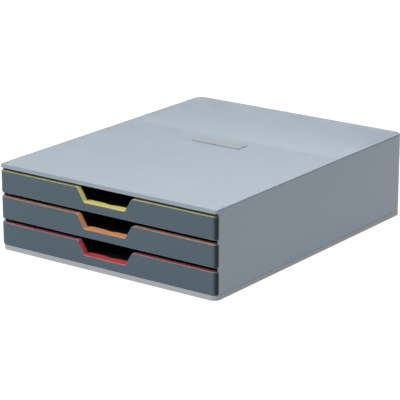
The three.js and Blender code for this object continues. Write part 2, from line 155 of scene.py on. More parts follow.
class FixingSizes(bpy.types.PropertyGroup):
    """Feet and the screws above them"""

    foot_edge: length("Foot edge", "Rounding of a foot's lower edge", 0.6)
    foot_dish: length("Foot dish", "Depth of the dish under a foot", 0.3)
    pillar: length("Pillar", "Radius of the pillar round a screw", 5.2)
    pillar_web: length("Pillar web", "Plastic left above a screw's head", 1.4)
    shank: length("Shank", "Radius of a screw's shank", 1.5)
    recess_width: length("Recess width", "Span of the cross in a screw's head", 3.2)
    recess_slot: length("Recess slot", "Width of one slot of the cross", 0.8)
    recess_depth: length("Recess depth", "Depth of the cross", 0.9)


class FrontSizes(bpy.types.PropertyGroup):
    """Drawer front: a face plate with rounded ends, a flange, spacers and clips"""

    skin: length("Skin", "Thickness of the face plate", 2.0)
    lip: length("Lip", "Thickness of the plate in front of the coloured strip", 1.0)
    end_width: length("End width", "Width of the curve at each end", 5.5)
    end_depth: length("End depth", "Depth of the curve at each end", 4.2)
    end_wall: length("End wall", "Thickness of the returned ends", 2.4)
    flange: length("Flange", "Thickness of the bottom flange", 1.5)
    spacer: length("Spacer", "Thickness of the spacers behind the plate", 1.6)
    clip_width: length("Clip width", "Width of a clip", 8.0)
    clip_thickness: length("Clip thickness", "Thickness of a clip", 1.6)
    clip_rise: length("Clip rise", "Height of the clips above the front's lower edge", 8.0)
    clip_barb: length("Clip barb", "Height of a clip's barb", 0.9)
    clip_hook: length("Clip hook", "Length of a clip's barb", 1.1)
    edge: length("Soft edge", "Rounding of the front's edges", 0.35)


class NotchSizes(bpy.types.PropertyGroup):
    """Finger notch in the top edge of a drawer front"""

    top_width: length("Top width", "Width at the front's top edge", 71.6)
    floor_width: length("Floor width", "Width at the notch's floor", 53.4)
    sill: length("Sill", "Height of the front left under the notch", 8.6)
    top_radius: length("Top radius", "Rounding where the edge turns down", 2.8)
    floor_radius: length("Floor radius", "Rounding at the notch's floor", 3.5)


class StripSizes(bpy.types.PropertyGroup):
    """Coloured strip along a front's top edge and round its notch"""

    thickness: length("Thickness", "Thickness of the strip", 1.6)
    web: length("Web", "Height of the web between front and tray", 3.4)
    shelf_depth: length("Shelf depth", "From the front face to the grip shelf's rear edge", 12.4)
    shelf_wing: length("Shelf wing", "How far the shelf reaches past the notch's floor", 2.5)
    shelf_corner: length("Shelf corner", "Rounding of the shelf's rear corners", 2.5)
    scoop_width: length("Scoop width", "Width of the scoop in the shelf's rear edge", 25.0)
    scoop_depth: length("Scoop depth", "Depth of that scoop", 1.8)
    edge: length("Soft edge", "Rounding of the strip's edges", 0.4)


class TraySizes(bpy.types.PropertyGroup):
    """Tray for A4 and C4 papers"""

    wall: length("Wall", "Thickness of the side and rear walls", 1.8)
    floor: length("Floor", "Thickness of the floor", 1.6)
    inset: length("Inset", "How far the side walls stand inside the bulkhead's ends", 2.0)
    wall_drop: length("Wall drop", "How far the side walls end below the front's top", 2.5)
    corner: length("Corner", "Radius of the rear corners in plan", 6.0)
    rail_front: length("Rail front", "Place of the raised rails' front ends", 75.05)
    bulkhead: length("Bulkhead", "Thickness of the wall behind the front", 2.2)
    edge: length("Soft edge", "Rounding of the tray's edges", 0.4)


class RunnerSizes(bpy.types.PropertyGroup):
    """Inner side frames with ledges and end stops"""

    edge: length("Soft edge", "Rounding of the frames' edges", 0.2)


class Colours(bpy.types.PropertyGroup):
    """Colours of the plastics"""

    hood: paint("Hood", "Light blue grey of the hood", 0.212, 0.248, 0.291)
    base: paint("Base", "Warm light grey of the base", 0.275, 0.285, 0.29)
    badge: paint("Badge", "Warm grey of the bare plate", 0.199, 0.211, 0.227)
    front: paint("Front", "Slate of the drawer fronts", 0.060, 0.087, 0.107)
    inner: paint("Inner", "Very dark grey of trays and runner frames", 0.022, 0.022, 0.024)
    bottom_strip: paint("Bottom strip", "Red of the bottom drawer's strip", 0.72, 0.076, 0.084)
    middle_strip: paint("Middle strip", "Orange of the middle drawer's strip", 1.0, 0.39, 0.165)
    top_strip: paint("Top strip", "Yellow of the top drawer's strip", 1.0, 0.89, 0.24)
    rubber: paint("Rubber", "Near black of the feet", 0.012, 0.012, 0.013)
    steel: paint("Steel", "Zinc plate of the screws", 0.50, 0.51, 0.53)


class DrawerBox(bpy.types.PropertyGroup):
    """Everything that the box's pieces are built from"""

    hood: PointerProperty(type=HoodSizes)
    badge: PointerProperty(type=BadgeSizes)
    base: PointerProperty(type=BaseSizes)
    fixings: PointerProperty(type=FixingSizes)
    front: PointerProperty(type=FrontSizes)
    notch: PointerProperty(type=NotchSizes)
    strip: PointerProperty(type=StripSizes)
    tray: PointerProperty(type=TraySizes)
    runner: PointerProperty(type=RunnerSizes)
    colours: PointerProperty(type=Colours)


# Outlines


def quarter_turn(steps):
    """Angles from nothing to a right angle."""
    return [math.pi / 2 * step / steps for step in range(steps + 1)]


def round_corner(corner, before, after, radius):
    back = (before - corner).normalized()
    ahead = (after - corner).normalized()
    half_angle = back.angle(ahead) / 2
    centre = corner + (back + ahead).normalized() * radius / math.sin(half_angle)
    spoke = corner + back * radius / math.tan(half_angle) - centre
    turn = math.copysign(math.pi - 2 * half_angle, ahead.cross(back))
    return [
        centre + Matrix.Rotation(turn * step / ARC_STEPS, 2) @ spoke
        for step in range(ARC_STEPS + 1)
    ]


def rounded_outline(corners):
    """A closed outline through corners of (across, up, radius), sharp where the radius is 0."""
    points = [Vector(corner[:2]) for corner in corners]
    outline = []
    for index, (point, corner) in enumerate(zip(points, corners)):
        if corner[2] == 0:
            outline.append(point)
        else:
            after = points[(index + 1) % len(points)]
            outline.extend(round_corner(point, points[index - 1], after, corner[2]))
    return outline


def plan_outline(half, front, rear, front_corner, rear_corner):
    """A rectangle in plan, centred across the box."""
    near, far = (front, front_corner), (rear, rear_corner)
    return rounded_outline([(-half, *near), (half, *near), (half, *far), (-half, *far)])


def on_plane(plane, point, along):
    """A point of the plan, or else of the front view, set at a place along the other axis."""
    if plane == "plan":
        return Vector((point.x, point.y, along))
    return Vector((point.x, along, point.y))


# Solids


def snap(shape):
    """Sets every point on a fine grid, so that faces meant to lie in one plane really do."""
    for vertex in shape.verts:
        vertex.co = Vector(round(place / GRID) * GRID for place in vertex.co)


def new_piece(name, shape):
    mesh = bpy.data.meshes.new(name)
    shape.to_mesh(mesh)
    shape.free()
    piece = bpy.data.objects.new(name, mesh)
    bpy.context.scene.collection.objects.link(piece)
    return piece


def discard(piece):
    mesh = piece.data
    bpy.data.objects.remove(piece)
    bpy.data.meshes.remove(mesh)


def loft(name, rings, on_grid=True):
    """A closed solid through rings of points, with a flat end on the first and the last."""
    shape = bmesh.new()
    layers = [[shape.verts.new(point) for point in ring] for ring in rings]
    for lower, upper in zip(layers, layers[1:]):
        for index, corner in enumerate(lower):
            after = (index + 1) % len(lower)
            shape.faces.new((corner, lower[after], upper[after], upper[index]))
    shape.faces.new(layers[0][::-1])
    shape.faces.new(layers[-1])
    if on_grid:
        snap(shape)
    bmesh.ops.recalc_face_normals(shape, faces=shape.faces)
    return new_piece(name, shape)


def prism(name, plane, outline, start, end):
    """An outline pushed from one place to another along the normal of its plane."""
    return loft(name, [[on_plane(plane, point, along) for point in outline] for along in (start, end)])


def block(name, across, along, up):
    """A box between (low, high) places along each axis."""
    (left, right), (front, rear) = across, along
    corners = ((left, front), (right, front), (right, rear), (left, rear))
    return prism(name, "plan", [Vector(corner) for corner in corners], *up)


def lathe(name, profile, centre=(0, 0)):
    """A turned solid from (radius, height) points, from one flat end to the other."""
    angles = [2 * math.pi * step / TURN_STEPS for step in range(TURN_STEPS)]
    spokes = [(math.cos(angle), math.sin(angle)) for angle in angles]
    rings = [
        [(centre[0] + radius * x, centre[1] + radius * y, height) for x, y in spokes]
        for radius, height in profile
    ]
    return loft(name, rings, on_grid=False)


@contextmanager
def edited(mesh):
    """Opens a mesh for editing and puts the changes back into it."""
    shape = bmesh.new()
    shape.from_mesh(mesh)
    yield shape
    shape.to_mesh(mesh)
    shape.free()


def bake(piece):
    """Turns a piece with modifiers into a plain mesh."""
    bpy.context.view_layer.update()
    depsgraph = bpy.context.evaluated_depsgraph_get()
    mesh = bpy.data.meshes.new_from_object(piece.evaluated_get(depsgraph), depsgraph=depsgraph)
    old = piece.data
    piece.modifiers.clear()
    piece.data = mesh
    mesh.name = piece.name
    bpy.data.meshes.remove(old)


def combine(operation, piece, tools):
    for tool in tools:
        modifier = piece.modifiers.new("Combine", "BOOLEAN")
        modifier.operation = operation
        modifier.solver = "MANIFOLD"
        modifier.object = tool
    bake(piece)
    for tool in tools:
        discard(tool)
    if not piece.data.polygons:
        raise RuntimeError(f"{piece.name} came out empty")
    return piece


def join(piece, *tools):
    return combine("UNION", piece, tools)


def cut(piece, *tools):
    return combine("DIFFERENCE", piece, tools)


def intersect(piece, *tools):
    return combine("INTERSECT", piece, tools)


def clean(piece, flat_angle=FLAT, slices=()):
    """Merges doubled points and flat faces, and keeps an upright cut at every slice."""
    with edited(piece.data) as shape:
        for x in slices:
            sliced = bmesh.ops.bisect_plane(
                shape,
                geom=[*shape.verts, *shape.edges, *shape.faces],
                dist=GRID,
                plane_co=(x, 0, 0),
                plane_no=(1, 0, 0),
            )
            for item in sliced["geom_cut"]:
                if isinstance(item, bmesh.types.BMEdge):
                    item.seam = True
        bmesh.ops.remove_doubles(shape, verts=shape.verts, dist=2 * GRID)
        bmesh.ops.dissolve_degenerate(shape, edges=shape.edges, dist=2 * GRID)
        bmesh.ops.dissolve_limit(
            shape,
            angle_limit=math.radians(flat_angle),
            verts=shape.verts,
            edges=shape.edges,
            delimit={"SEAM"},
        )


def mark_edges(mesh, width):
    """Keeps in the edge attribute which points lie within a rounded convex edge."""
    with edited(mesh) as shape:
        layer = shape.verts.layers.float.new("edge")
        narrow = [2 * face.calc_area() / face.calc_perimeter() < width for face in shape.faces]
        for vertex in shape.verts:
            convex = sum(edge.calc_face_angle_signed(0) for edge in vertex.link_edges) > 0
            within = all(narrow[face.index] for face in vertex.link_faces)
            vertex[layer] = float(convex and within)


def is_near(place, start, end, reach):
    """Whether a place lies within reach of an edge."""
    run = end - start
    along = (place - start).dot(run.normalized())
    aside = (intersect_point_line(place, start, end)[0] - place).length
    return aside < reach and -reach < along < run.length + reach


def weigh_edges(mesh, folds, reach):
    """Gives the sharp edges that stand out their full weight, except near the given places."""
    with edited(mesh) as shape:
        weight = shape.edges.layers.float.new("bevel_weight_edge")
        for edge in shape.edges:
            if edge.calc_face_angle_signed(0) > SHARP:
                start, end = (corner.co for corner in edge.verts)
                folded = any(is_near(fold, start, end, reach) for fold in folds)
                edge[weight] = float(not folded)


def turn_of(first, second, third):
    """Positive where three points in a plane turn left."""
    return (second - first).cross(third - first)


def is_crossing(first, second, third, fourth):
    """Whether the line between the first two points crosses the line between the others."""
    return (
        turn_of(first, second, third) * turn_of(first, second, fourth) < 0
        and turn_of(third, fourth, first) * turn_of(third, fourth, second) < 0
    )


def crossings(corners, across, up):
    """Places where a face's outline crosses itself, seen along the remaining axis."""
    flat = [Vector((corner[across], corner[up])) for corner in corners]
    sides = [(index, (index + 1) % len(flat)) for index in range(len(flat))]
    places = []
    for number, side in enumerate(sides):
        for other in sides[number + 2:]:
            if other[1] == side[0]:
                continue
            if is_crossing(*(flat[index] for index in (*side, *other))):
                ends = [(corners[one], corners[two]) for one in side for two in other]
                first, second = min(ends, key=lambda pair: (pair[0] - pair[1]).length)
                places.append((first + second) / 2)
    return places


def find_folds(mesh):
    """Places where rounding has made a face fold over itself."""
    mesh.calc_loop_triangles()
    covered = [0.0] * len(mesh.polygons)
    for triangle in mesh.loop_triangles:
        covered[triangle.polygon_index] += triangle.area
    places = []
    for face in mesh.polygons:
        if covered[face.index] - face.area > FOLD_AREA:
            corners = [mesh.vertices[index].co.copy() for index in face.vertices]
            axes = sorted(range(3), key=lambda axis: abs(face.normal[axis]))
            places.extend(crossings(corners, axes[0], axes[1]))
    return places


def soften(piece, width, flat_angle=FLAT, slices=()):
    """Rounds the sharp edges that stand out, where there is room, and shades them smoothly."""
    clean(piece, flat_angle, slices)
    plain = piece.data.copy()
    folds = []
    for attempt in range(ROUND_TRIES):
        weigh_edges(piece.data, folds, width * (1 + attempt / 2))
        bevel = piece.modifiers.new("Soft edges", "BEVEL")
        bevel.width = width
        bevel.segments = SOFT_STEPS
        bevel.limit_method = "WEIGHT"
        bevel.use_clamp_overlap = False
        bevel.miter_outer = "MITER_ARC"
        bake(piece)
        found = find_folds(piece.data)
        if not found:
            break
        folds.extend(found)
        piece.data = plain.copy()
    else:
        raise RuntimeError(f"{piece.name} still folds over itself")
    bpy.data.meshes.remove(plain)
    mark_edges(piece.data, NARROW * width)
    piece.data.shade_smooth()
    piece.data.set_sharp_from_angle(angle=SHARP)
    normals = piece.modifiers.new("Weighted normals", "WEIGHTED_NORMAL")
    normals.keep_sharp = True
    bake(piece)


# Node trees


def feed(tree, socket, value):
    """Links a socket to another one, or gives it a plain value."""
    if isinstance(value, bpy.types.NodeSocket):
        tree.links.new(value, socket)
    else:
        socket.default_value = value


def add(tree, kind, label="", given=None, **settings):
    """A node with its settings, and with links or values for inputs by name or number."""
    node = tree.nodes.new(kind)
    node.label = label
    for name, value in settings.items():
        setattr(node, name, value)
    for key, value in (given or {}).items():
        feed(tree, node.inputs[key], value)
    return node


def math_node(tree, operation, *values):
    node = add(tree, "ShaderNodeMath", given=dict(enumerate(values)), operation=operation)
    return node.outputs[0]


def vector_node(tree, operation, label, given):
    return add(tree, "ShaderNodeVectorMath", label, given, operation=operation).outputs[0]


def new_group(name, kind, inputs, outputs):
    """A node group with inputs by name and default, and outputs by name.

    An input or output named Geometry or Material is of that kind.
    """
    kinds = {float: "Float", int: "Int", tuple: "Vector"}
    tree = bpy.data.node_groups.new(name, kind)
    for label, default in inputs.items():
        socket = "NodeSocket" + kinds.get(type(default), label)
        item = tree.interface.new_socket(label, in_out="INPUT", socket_type=socket)
        if default is not None:
            item.default_value = default
    for label in outputs:
        socket = "NodeSocketGeometry" if label == "Geometry" else "NodeSocketFloat"
        tree.interface.new_socket(label, in_out="OUTPUT", socket_type=socket)
    return tree, tree.nodes.new("NodeGroupInput"), tree.nodes.new("NodeGroupOutput")


def geometry_tree(name, sizes):
    """A geometry tree whose last input is the material."""
    return new_group(name, "GeometryNodeTree", {**sizes, "Material": None}, ["Geometry"])


def finish_tree(tree, inside, outside, geometry):
    """Ends a tree: makes its copies real and gives them the material."""
    real = add(tree, "GeometryNodeRealizeInstances", given={0: geometry}).outputs[0]
    given = {"Geometry": real, "Material": inside.outputs["Material"]}
    feed(tree, outside.inputs[0], add(tree, "GeometryNodeSetMaterial", given=given).outputs[0])
    return tree


def run_tree(piece, tree, values):
    """Runs a geometry tree on a piece with inputs by name, and keeps the result as a plain mesh."""
    modifier = piece.modifiers.new(tree.name, "NODES")
    modifier.node_group = tree
    for item in tree.interface.items_tree:
        if item.in_out == "INPUT" and item.name in values:
            modifier[item.identifier] = values[item.name]
    bake(piece)
    with edited(piece.data) as shape:
        bmesh.ops.remove_doubles(shape, verts=shape.verts, dist=2 * GRID)
        snap(shape)
    return piece


def empty_piece(name):
    return new_piece(name, bmesh.new())


def corner_tree():
    """Sets one piece at the four corners of a rectangle centred on the origin."""
    sizes = {"Geometry": None, "Width": 0.26, "Depth": 0.31}
    tree, inside, outside = geometry_tree("Four corners", sizes)
    grid = add(tree, "GeometryNodeMeshGrid", "Corners", {
        "Vertices X": 2,
        "Vertices Y": 2,
        "Size X": inside.outputs["Width"],
        "Size Y": inside.outputs["Depth"],
    })
    copies = add(tree, "GeometryNodeInstanceOnPoints", "One at each corner", {
        "Points": grid.outputs["Mesh"],
        "Instance": inside.outputs["Geometry"],
    })
    return finish_tree(tree, inside, outside, copies.outputs[0])


def rib_tree():
    """A row of equal upright ribs, spaced evenly across a width with none at its ends."""
    sizes = {
        "Count": 3,
        "Span": (0.27, 0.0, 0.0),
        "Centre": (0.0, 0.0, 0.003),
        "Rib": (0.0015, 0.34, 0.002),
    }
    tree, inside, outside = geometry_tree("Rib row", sizes)
    given = inside.outputs
    step_share = math_node(tree, "DIVIDE", 1.0, math_node(tree, "ADD", given["Count"], 1.0))
    step = vector_node(tree, "SCALE", "Step", {0: given["Span"], "Scale": step_share})
    half = vector_node(tree, "SCALE", "Half span", {0: given["Span"], "Scale": 0.5})
    end = vector_node(tree, "SUBTRACT", "One end", {0: given["Centre"], 1: half})
    start = vector_node(tree, "ADD", "First rib", {0: end, 1: step})
    row = add(
        tree,
        "GeometryNodeMeshLine",
        "Places",
        {"Count": given["Count"], "Start Location": start, "Offset": step},
        mode="OFFSET",
    )
    rib = add(tree, "GeometryNodeMeshCube", "Rib", {"Size": given["Rib"]})
    copies = add(tree, "GeometryNodeInstanceOnPoints", "Ribs", {
        "Points": row.outputs["Mesh"],
        "Instance": rib.outputs["Mesh"],
    })
    return finish_tree(tree, inside, outside, copies.outputs[0])


def strip_tree():
    """A flat strip swept along a drawer front's top edge, down one slope and up the other."""
    sizes = {
        "Half length": 0.137,
        "Level": 0.09,
        "Notch depth": 0.015,
        "Notch top half": 0.037,
        "Notch floor half": 0.027,
        "Top radius": 0.0045,
        "Floor radius": 0.0035,
        "Thickness": 0.0016,
        "Front": -0.177,
        "Rear": -0.17,
        "Arc steps": 12,
    }
    tree, inside, outside = geometry_tree("Edge strip", sizes)
    given = inside.outputs

    def calculate(operation, *values):
        return math_node(tree, operation, *values)

    index = add(tree, "GeometryNodeInputIndex").outputs[0]
    mirrored = calculate("SUBTRACT", 5.0, index)
    side = calculate("SIGN", calculate("SUBTRACT", index, 2.5))
    corner = calculate("MINIMUM", index, mirrored)
    at_end, at_top, at_floor = (
        calculate("COMPARE", corner, number, 0.5) for number in (0.0, 1.0, 2.0)
    )
    reach = calculate("MULTIPLY", given["Half length"], at_end)
    reach = calculate("MULTIPLY_ADD", given["Notch top half"], at_top, reach)
    reach = calculate("MULTIPLY_ADD", given["Notch floor half"], at_floor, reach)
    drop = calculate("MULTIPLY", given["Notch depth"], at_floor)
    radius = calculate("MULTIPLY", given["Top radius"], at_top)
    radius = calculate("MULTIPLY_ADD", given["Floor radius"], at_floor, radius)
    place = add(tree, "ShaderNodeCombineXYZ", "Corner places", {
        "X": calculate("MULTIPLY", side, reach),
        "Z": calculate("SUBTRACT", given["Level"], drop),
    })
    corners = add(tree, "GeometryNodeMeshLine", "Six corners", {"Count": 6})
    settled = add(tree, "GeometryNodeSetPosition", "In place", {
        "Geometry": corners.outputs["Mesh"],
        "Position": place.outputs[0],
    })
    path = add(tree, "GeometryNodeMeshToCurve", "Edge", {"Mesh": settled.outputs[0]})
    rounded = add(
        tree,
        "GeometryNodeFilletCurve",
        "Rounded edge",
        {"Curve": path.outputs[0], "Radius": radius, "Count": given["Arc steps"]},
        mode="POLY",
    )
    facing = add(
        tree,
        "GeometryNodeSetCurveNormal",
        "Faces front",
        {"Curve": rounded.outputs[0], "Normal": (0, -1, 0)},
        mode="FREE",
    )
    section = add(tree, "GeometryNodeCurvePrimitiveQuadrilateral", "Section", {
        "Width": calculate("SUBTRACT", given["Rear"], given["Front"]),
        "Height": given["Thickness"],
    })
    middle = calculate("ADD", given["Rear"], given["Front"])
    shift = add(tree, "ShaderNodeCombineXYZ", "Section place", {
        "X": calculate("MULTIPLY", middle, -0.5),
        "Y": calculate("MULTIPLY", given["Thickness"], 0.5),
    })
    seated = add(tree, "GeometryNodeTransform", "Seated section", {
        "Geometry": section.outputs[0],
        "Translation": shift.outputs[0],
    })
    strip = add(tree, "GeometryNodeCurveToMesh", "Strip", {
        "Curve": facing.outputs[0],
        "Profile Curve": seated.outputs[0],
        "Fill Caps": True,
    })
    return finish_tree(tree, inside, outside, strip.outputs[0])


# Shader groups and finishes


PALE_SHARE = 0.35  # how far a rounded edge's colour goes towards white: handling wear and a painted highlight
RUN_SHADE_SHARE = 0.5  # how far a strip's runs beside the notch go towards the colour behind them, as painted shade
END_PAINTED_SHADE = 0.85  # how strongly painted shade darkens the turned ends of a front
PAINTED_SHADE_TONE = 0.1  # colour of that painted shade as a share of the plastic's
DUST_SHARE = 0.01
DUST_COLOUR = (0.55, 0.54, 0.52)
BLOOM_SHARE = 0.2
BLOOM_COLOUR = (0.2, 0.2, 0.19)


def noise(tree, vector, scale, detail=2.0, roughness=0.5):
    given = {"Detail": detail, "Roughness": roughness, "Scale": scale, "Vector": vector}
    return add(tree, "ShaderNodeTexNoise", given=given).outputs["Fac"]


def map_range(tree, label, value, start, end, low=0.0, high=1.0):
    """Turns a value that runs from start to end into one that runs from low to high."""
    names = ("Value", "From Min", "From Max", "To Min", "To Max")
    given = dict(zip(names, (value, start, end, low, high)))
    return add(tree, "ShaderNodeMapRange", label, given).outputs["Result"]


def spread(tree, value, low, high):
    """Stretches the middle of a noise value to run from low to high."""
    return map_range(tree, "Spread", value, 0.3, 0.7, low, high)


def shifted(tree, value, mask, by):
    """A value moved by a share that a mask gives, or by all of it where the mask is 1."""
    return math_node(tree, "MULTIPLY_ADD", mask, by, value)


def object_place(tree):
    return add(tree, "ShaderNodeTexCoord").outputs["Object"]


def axis_of(tree, vector, axis):
    return add(tree, "ShaderNodeSeparateXYZ", given={0: vector}).outputs[axis]


def facing(tree, axis):
    """How far a face looks along an axis."""
    return axis_of(tree, add(tree, "ShaderNodeNewGeometry").outputs["Normal"], axis)


def fill_grain(tree, given):
    """Spark-eroded grain of a mould: a fine height, slow tone drift and cloudy gloss."""
    place = object_place(tree)
    scale = given["Grain scale"]
    fine = noise(tree, place, scale, detail=3.0, roughness=0.6)
    pits = add(tree, "ShaderNodeTexVoronoi", "Pits", {"Vector": place, "Scale": scale})
    height = shifted(tree, fine, pits.outputs["Distance"], by=0.5)
    drift = spread(tree, noise(tree, place, given["Drift scale"]), -1.0, 1.0)
    speckle = spread(tree, noise(tree, place, scale=700.0, detail=1.0), -1.0, 1.0)
    clouds = spread(tree, noise(tree, place, scale=45.0, detail=3.0), -1.0, 1.0)
    return height, shifted(tree, drift, speckle, by=0.35), clouds


def fill_wear_and_highlight(tree, given):
    """Mask of spots on the rounded edges, for handling wear and a painted highlight."""
    edge = add(tree, "ShaderNodeAttribute", "Rounded edges", attribute_name="edge").outputs["Fac"]
    patches = noise(tree, object_place(tree), given["Patch scale"], detail=3.0)
    return [math_node(tree, "MULTIPLY", edge, spread(tree, patches, 0.35, 1.0))]


def fill_dust(tree, given):
    """Mask of the thin dust that settles on faces that look up."""
    place = object_place(tree)
    upward = map_range(tree, "Looks up", facing(tree, "Z"), start=0.6, end=0.98)
    patches = spread(tree, noise(tree, place, given["Patch scale"], detail=4.0), 0.0, 1.0)
    specks = spread(tree, noise(tree, place, scale=900.0), 0.5, 1.0)
    settled = math_node(tree, "MULTIPLY", patches, specks)
    return [math_node(tree, "MULTIPLY", settled, upward)]


def fill_reach(tree, given):
    """Mask of what lies further out to both sides than a reach."""
    out = math_node(tree, "ABSOLUTE", axis_of(tree, object_place(tree), "X"))
    far = math_node(tree, "ADD", given["Reach"], given["Fade"])
    return [map_range(tree, "Beyond the reach", out, given["Reach"], far)]


def fill_sideways(tree, given):
    """Mask of the faces that look to the left or the right."""
    aside = math_node(tree, "ABSOLUTE", facing(tree, "X"))
    return [map_range(tree, "Turned sideways", aside, given["Start"], given["End"])]


GRAIN_SCALES = {"Grain scale": 2200.0, "Drift scale": 9.0}
GROUPS = {
    "Moulded grain": (fill_grain, GRAIN_SCALES, ["Height", "Tone", "Gloss"]),
    "Edge polish": (fill_wear_and_highlight, {"Patch scale": 60.0}, ["Mask"]),
    "Settled dust": (fill_dust, {"Patch scale": 14.0}, ["Mask"]),
    "Beyond a reach": (fill_reach, {"Reach": 0.036, "Fade": 0.003}, ["Mask"]),
    "Looks sideways": (fill_sideways, {"Start": 0.25, "End": 0.7}, ["Mask"]),
}


def place_group(tree, name, given=None):
    """Outputs of a shared group, which is built when it is first asked for."""
    if name not in bpy.data.node_groups:
        fill, inputs, outputs = GROUPS[name]
        group, inside, outside = new_group(name, "ShaderNodeTree", inputs, outputs)
        for output, value in zip(outputs, fill(group, inside.outputs)):
            feed(group, outside.inputs[output], value)
    group = bpy.data.node_groups[name]
    return add(tree, "ShaderNodeGroup", name, given, node_tree=group).outputs


def mixed(tree, mask, first, second):
    """A mix of two colours, each from a socket or plain."""
    node = add(tree, "ShaderNodeMix", given={"Factor": mask}, data_type="RGBA")
    ends = [socket for socket in node.inputs if socket.type == "RGBA"]
    for socket, colour in zip(ends, (first, second)):
        plain = not isinstance(colour, bpy.types.NodeSocket)
        feed(tree, socket, (*colour, 1.0) if plain else colour)
    return next(socket for socket in node.outputs if socket.type == "RGBA")


def new_material(name):
    material = bpy.data.materials.new(name)
    material.use_nodes = True
    tree = material.node_tree
    return material, tree, tree.nodes["Principled BSDF"]


def shade(colour, factor):
    return tuple(min(1.0, part * factor) for part in colour)


def drifting(tree, grains, colour, low, high):
    """A colour that drifts slowly between two shades of itself."""
    tone = shifted(tree, 0.5, grains["Tone"], by=0.5)
    return mixed(tree, tone, shade(colour, low), shade(colour, high))


def dress(tree, surface, colour, gloss, height, strength, depth):
    """Gives the surface its colour, its roughness and its fine relief."""
    given = {"Strength": strength, "Distance": depth, "Height": height}
    relief = add(tree, "ShaderNodeBump", "Relief", given)
    feed(tree, surface.inputs["Base Color"], colour)
    feed(tree, surface.inputs["Roughness"], gloss)
    feed(tree, surface.inputs["Normal"], relief.outputs["Normal"])


def toned_down(tree, colour, mask, strength, second):
    """A colour that goes towards a second one where a mask says so."""
    return mixed(tree, math_node(tree, "MULTIPLY", mask, strength), colour, second)


def moulded_plastic(
    name, colour, roughness, grain, polish=0.2, sheen=0.5, drift=0.02, behind=None, grime=0.0
):
    """Satin moulded plastic: fine grain, slow tone drift, cloudy gloss, and paler rounded edges
    that are partly handling wear and partly a painted highlight.

    A strip's runs beside the notch take painted shade towards the colour behind them, and a
    front's turned ends beside the hood's walls take painted shade.
    """
    if name in bpy.data.materials:
        return bpy.data.materials[name]
    material, tree, surface = new_material(name)
    grains = place_group(tree, "Moulded grain")
    edge_wear_and_highlight = place_group(tree, "Edge polish")["Mask"]
    dust = place_group(tree, "Settled dust")["Mask"]
    tint = drifting(tree, grains, colour, 1 - drift, 1 + drift)
    # Painted shade: a strip's runs beyond the notch are darkened towards the slate's colour.
    if behind:
        reach = settings().notch.top_width / 2
        runs = place_group(tree, "Beyond a reach", {"Reach": reach})["Mask"]
        tint = toned_down(tree, tint, runs, RUN_SHADE_SHARE, behind)
    # Painted shade: the sideways faces of a front's ends beside the hood's walls are darkened.
    if grime:
        reach = hood_high.x - settings().front.end_width
        ends = place_group(tree, "Beyond a reach", {"Reach": reach})["Mask"]
        turned = place_group(tree, "Looks sideways")["Mask"]
        shaded_ends = math_node(tree, "MULTIPLY", ends, turned)
        tint = toned_down(tree, tint, shaded_ends, grime, shade(colour, PAINTED_SHADE_TONE))
    # Rounded edges go paler: partly handling wear, partly a painted highlight.
    pale = [PALE_SHARE + (1 - PALE_SHARE) * part for part in colour]
    tint = toned_down(tree, tint, edge_wear_and_highlight, polish, pale)
    tint = toned_down(tree, tint, dust, DUST_SHARE, DUST_COLOUR)
    gloss = shifted(tree, roughness, grains["Gloss"], by=0.03)
    gloss = shifted(tree, gloss, edge_wear_and_highlight, by=-0.05)
    gloss = shifted(tree, gloss, dust, by=0.02)
    dress(tree, surface, tint, gloss, grains["Height"], grain, depth=0.02 * MM)
    surface.inputs["Specular IOR Level"].default_value = sheen
    return material


def foot_rubber(colour):
    """Matt rubber with a dusty bloom."""
    material, tree, surface = new_material("Foot rubber")
    grains = place_group(tree, "Moulded grain", {"Grain scale": 1500.0})
    dust = place_group(tree, "Settled dust")["Mask"]
    tint = drifting(tree, grains, colour, 0.85, 1.3)
    tint = toned_down(tree, tint, dust, BLOOM_SHARE, BLOOM_COLOUR)
    gloss = shifted(tree, 0.85, grains["Gloss"], by=0.05)
    dress(tree, surface, tint, gloss, grains["Height"], strength=0.5, depth=0.04 * MM)
    return material


def zinc_plate(colour):
    """Zinc-plated steel with turning marks and cloudy passivation."""
    material, tree, surface = new_material("Zinc plate")
    grains = place_group(tree, "Moulded grain", {"Grain scale": 3000.0, "Drift scale": 300.0})
    rings = add(
        tree,
        "ShaderNodeTexWave",
        "Turning marks",
        {"Scale": 900.0, "Distortion": 1.5, "Vector": object_place(tree)},
        wave_type="RINGS",
        rings_direction="Z",
    )
    tint = drifting(tree, grains, colour, 0.88, 1.1)
    gloss = shifted(tree, 0.36, grains["Gloss"], by=0.08)
    dress(tree, surface, tint, gloss, rings.outputs["Fac"], strength=0.3, depth=0.01 * MM)
    surface.inputs["Metallic"].default_value = 1.0
    return material


def finish_piece(piece, material, body, slot, *nodes):
    """Gives a piece its material and its body, and hides the CAD nodes that it stands for; the slot is
    not used.
    """
    piece.data.materials.clear()
    piece.data.materials.append(material)
    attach(piece, body)
    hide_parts(*nodes)


# Hood


LID_FLAT = 0.01  # degrees between faces that are taken as one, so that the crown keeps its arc


def rounded_slab(name, plan, bottom, top, bottom_edge, top_edge):
    """A slab from a plan of (half, front, rear, front corner, rear corner), with round edges."""
    half, front, rear, front_corner, rear_corner = plan

    def ring(inset, height):
        outline = plan_outline(
            half - inset, front + inset, rear - inset, front_corner - inset, rear_corner - inset
        )
        return [on_plane("plan", point, height) for point in outline]

    def edge_rings(edge, level, upward):
        """Rings over a rounded edge, from the slab's flat face to its side."""
        turns = quarter_turn(EDGE_STEPS) if edge else [math.pi / 2]
        return [
            ring(edge * (1 - math.sin(turn)), level + upward * edge * (1 - math.cos(turn)))
            for turn in turns
        ]

    lower = edge_rings(bottom_edge, bottom, 1)
    upper = edge_rings(top_edge, top, -1)
    return loft(name, lower + upper[::-1])


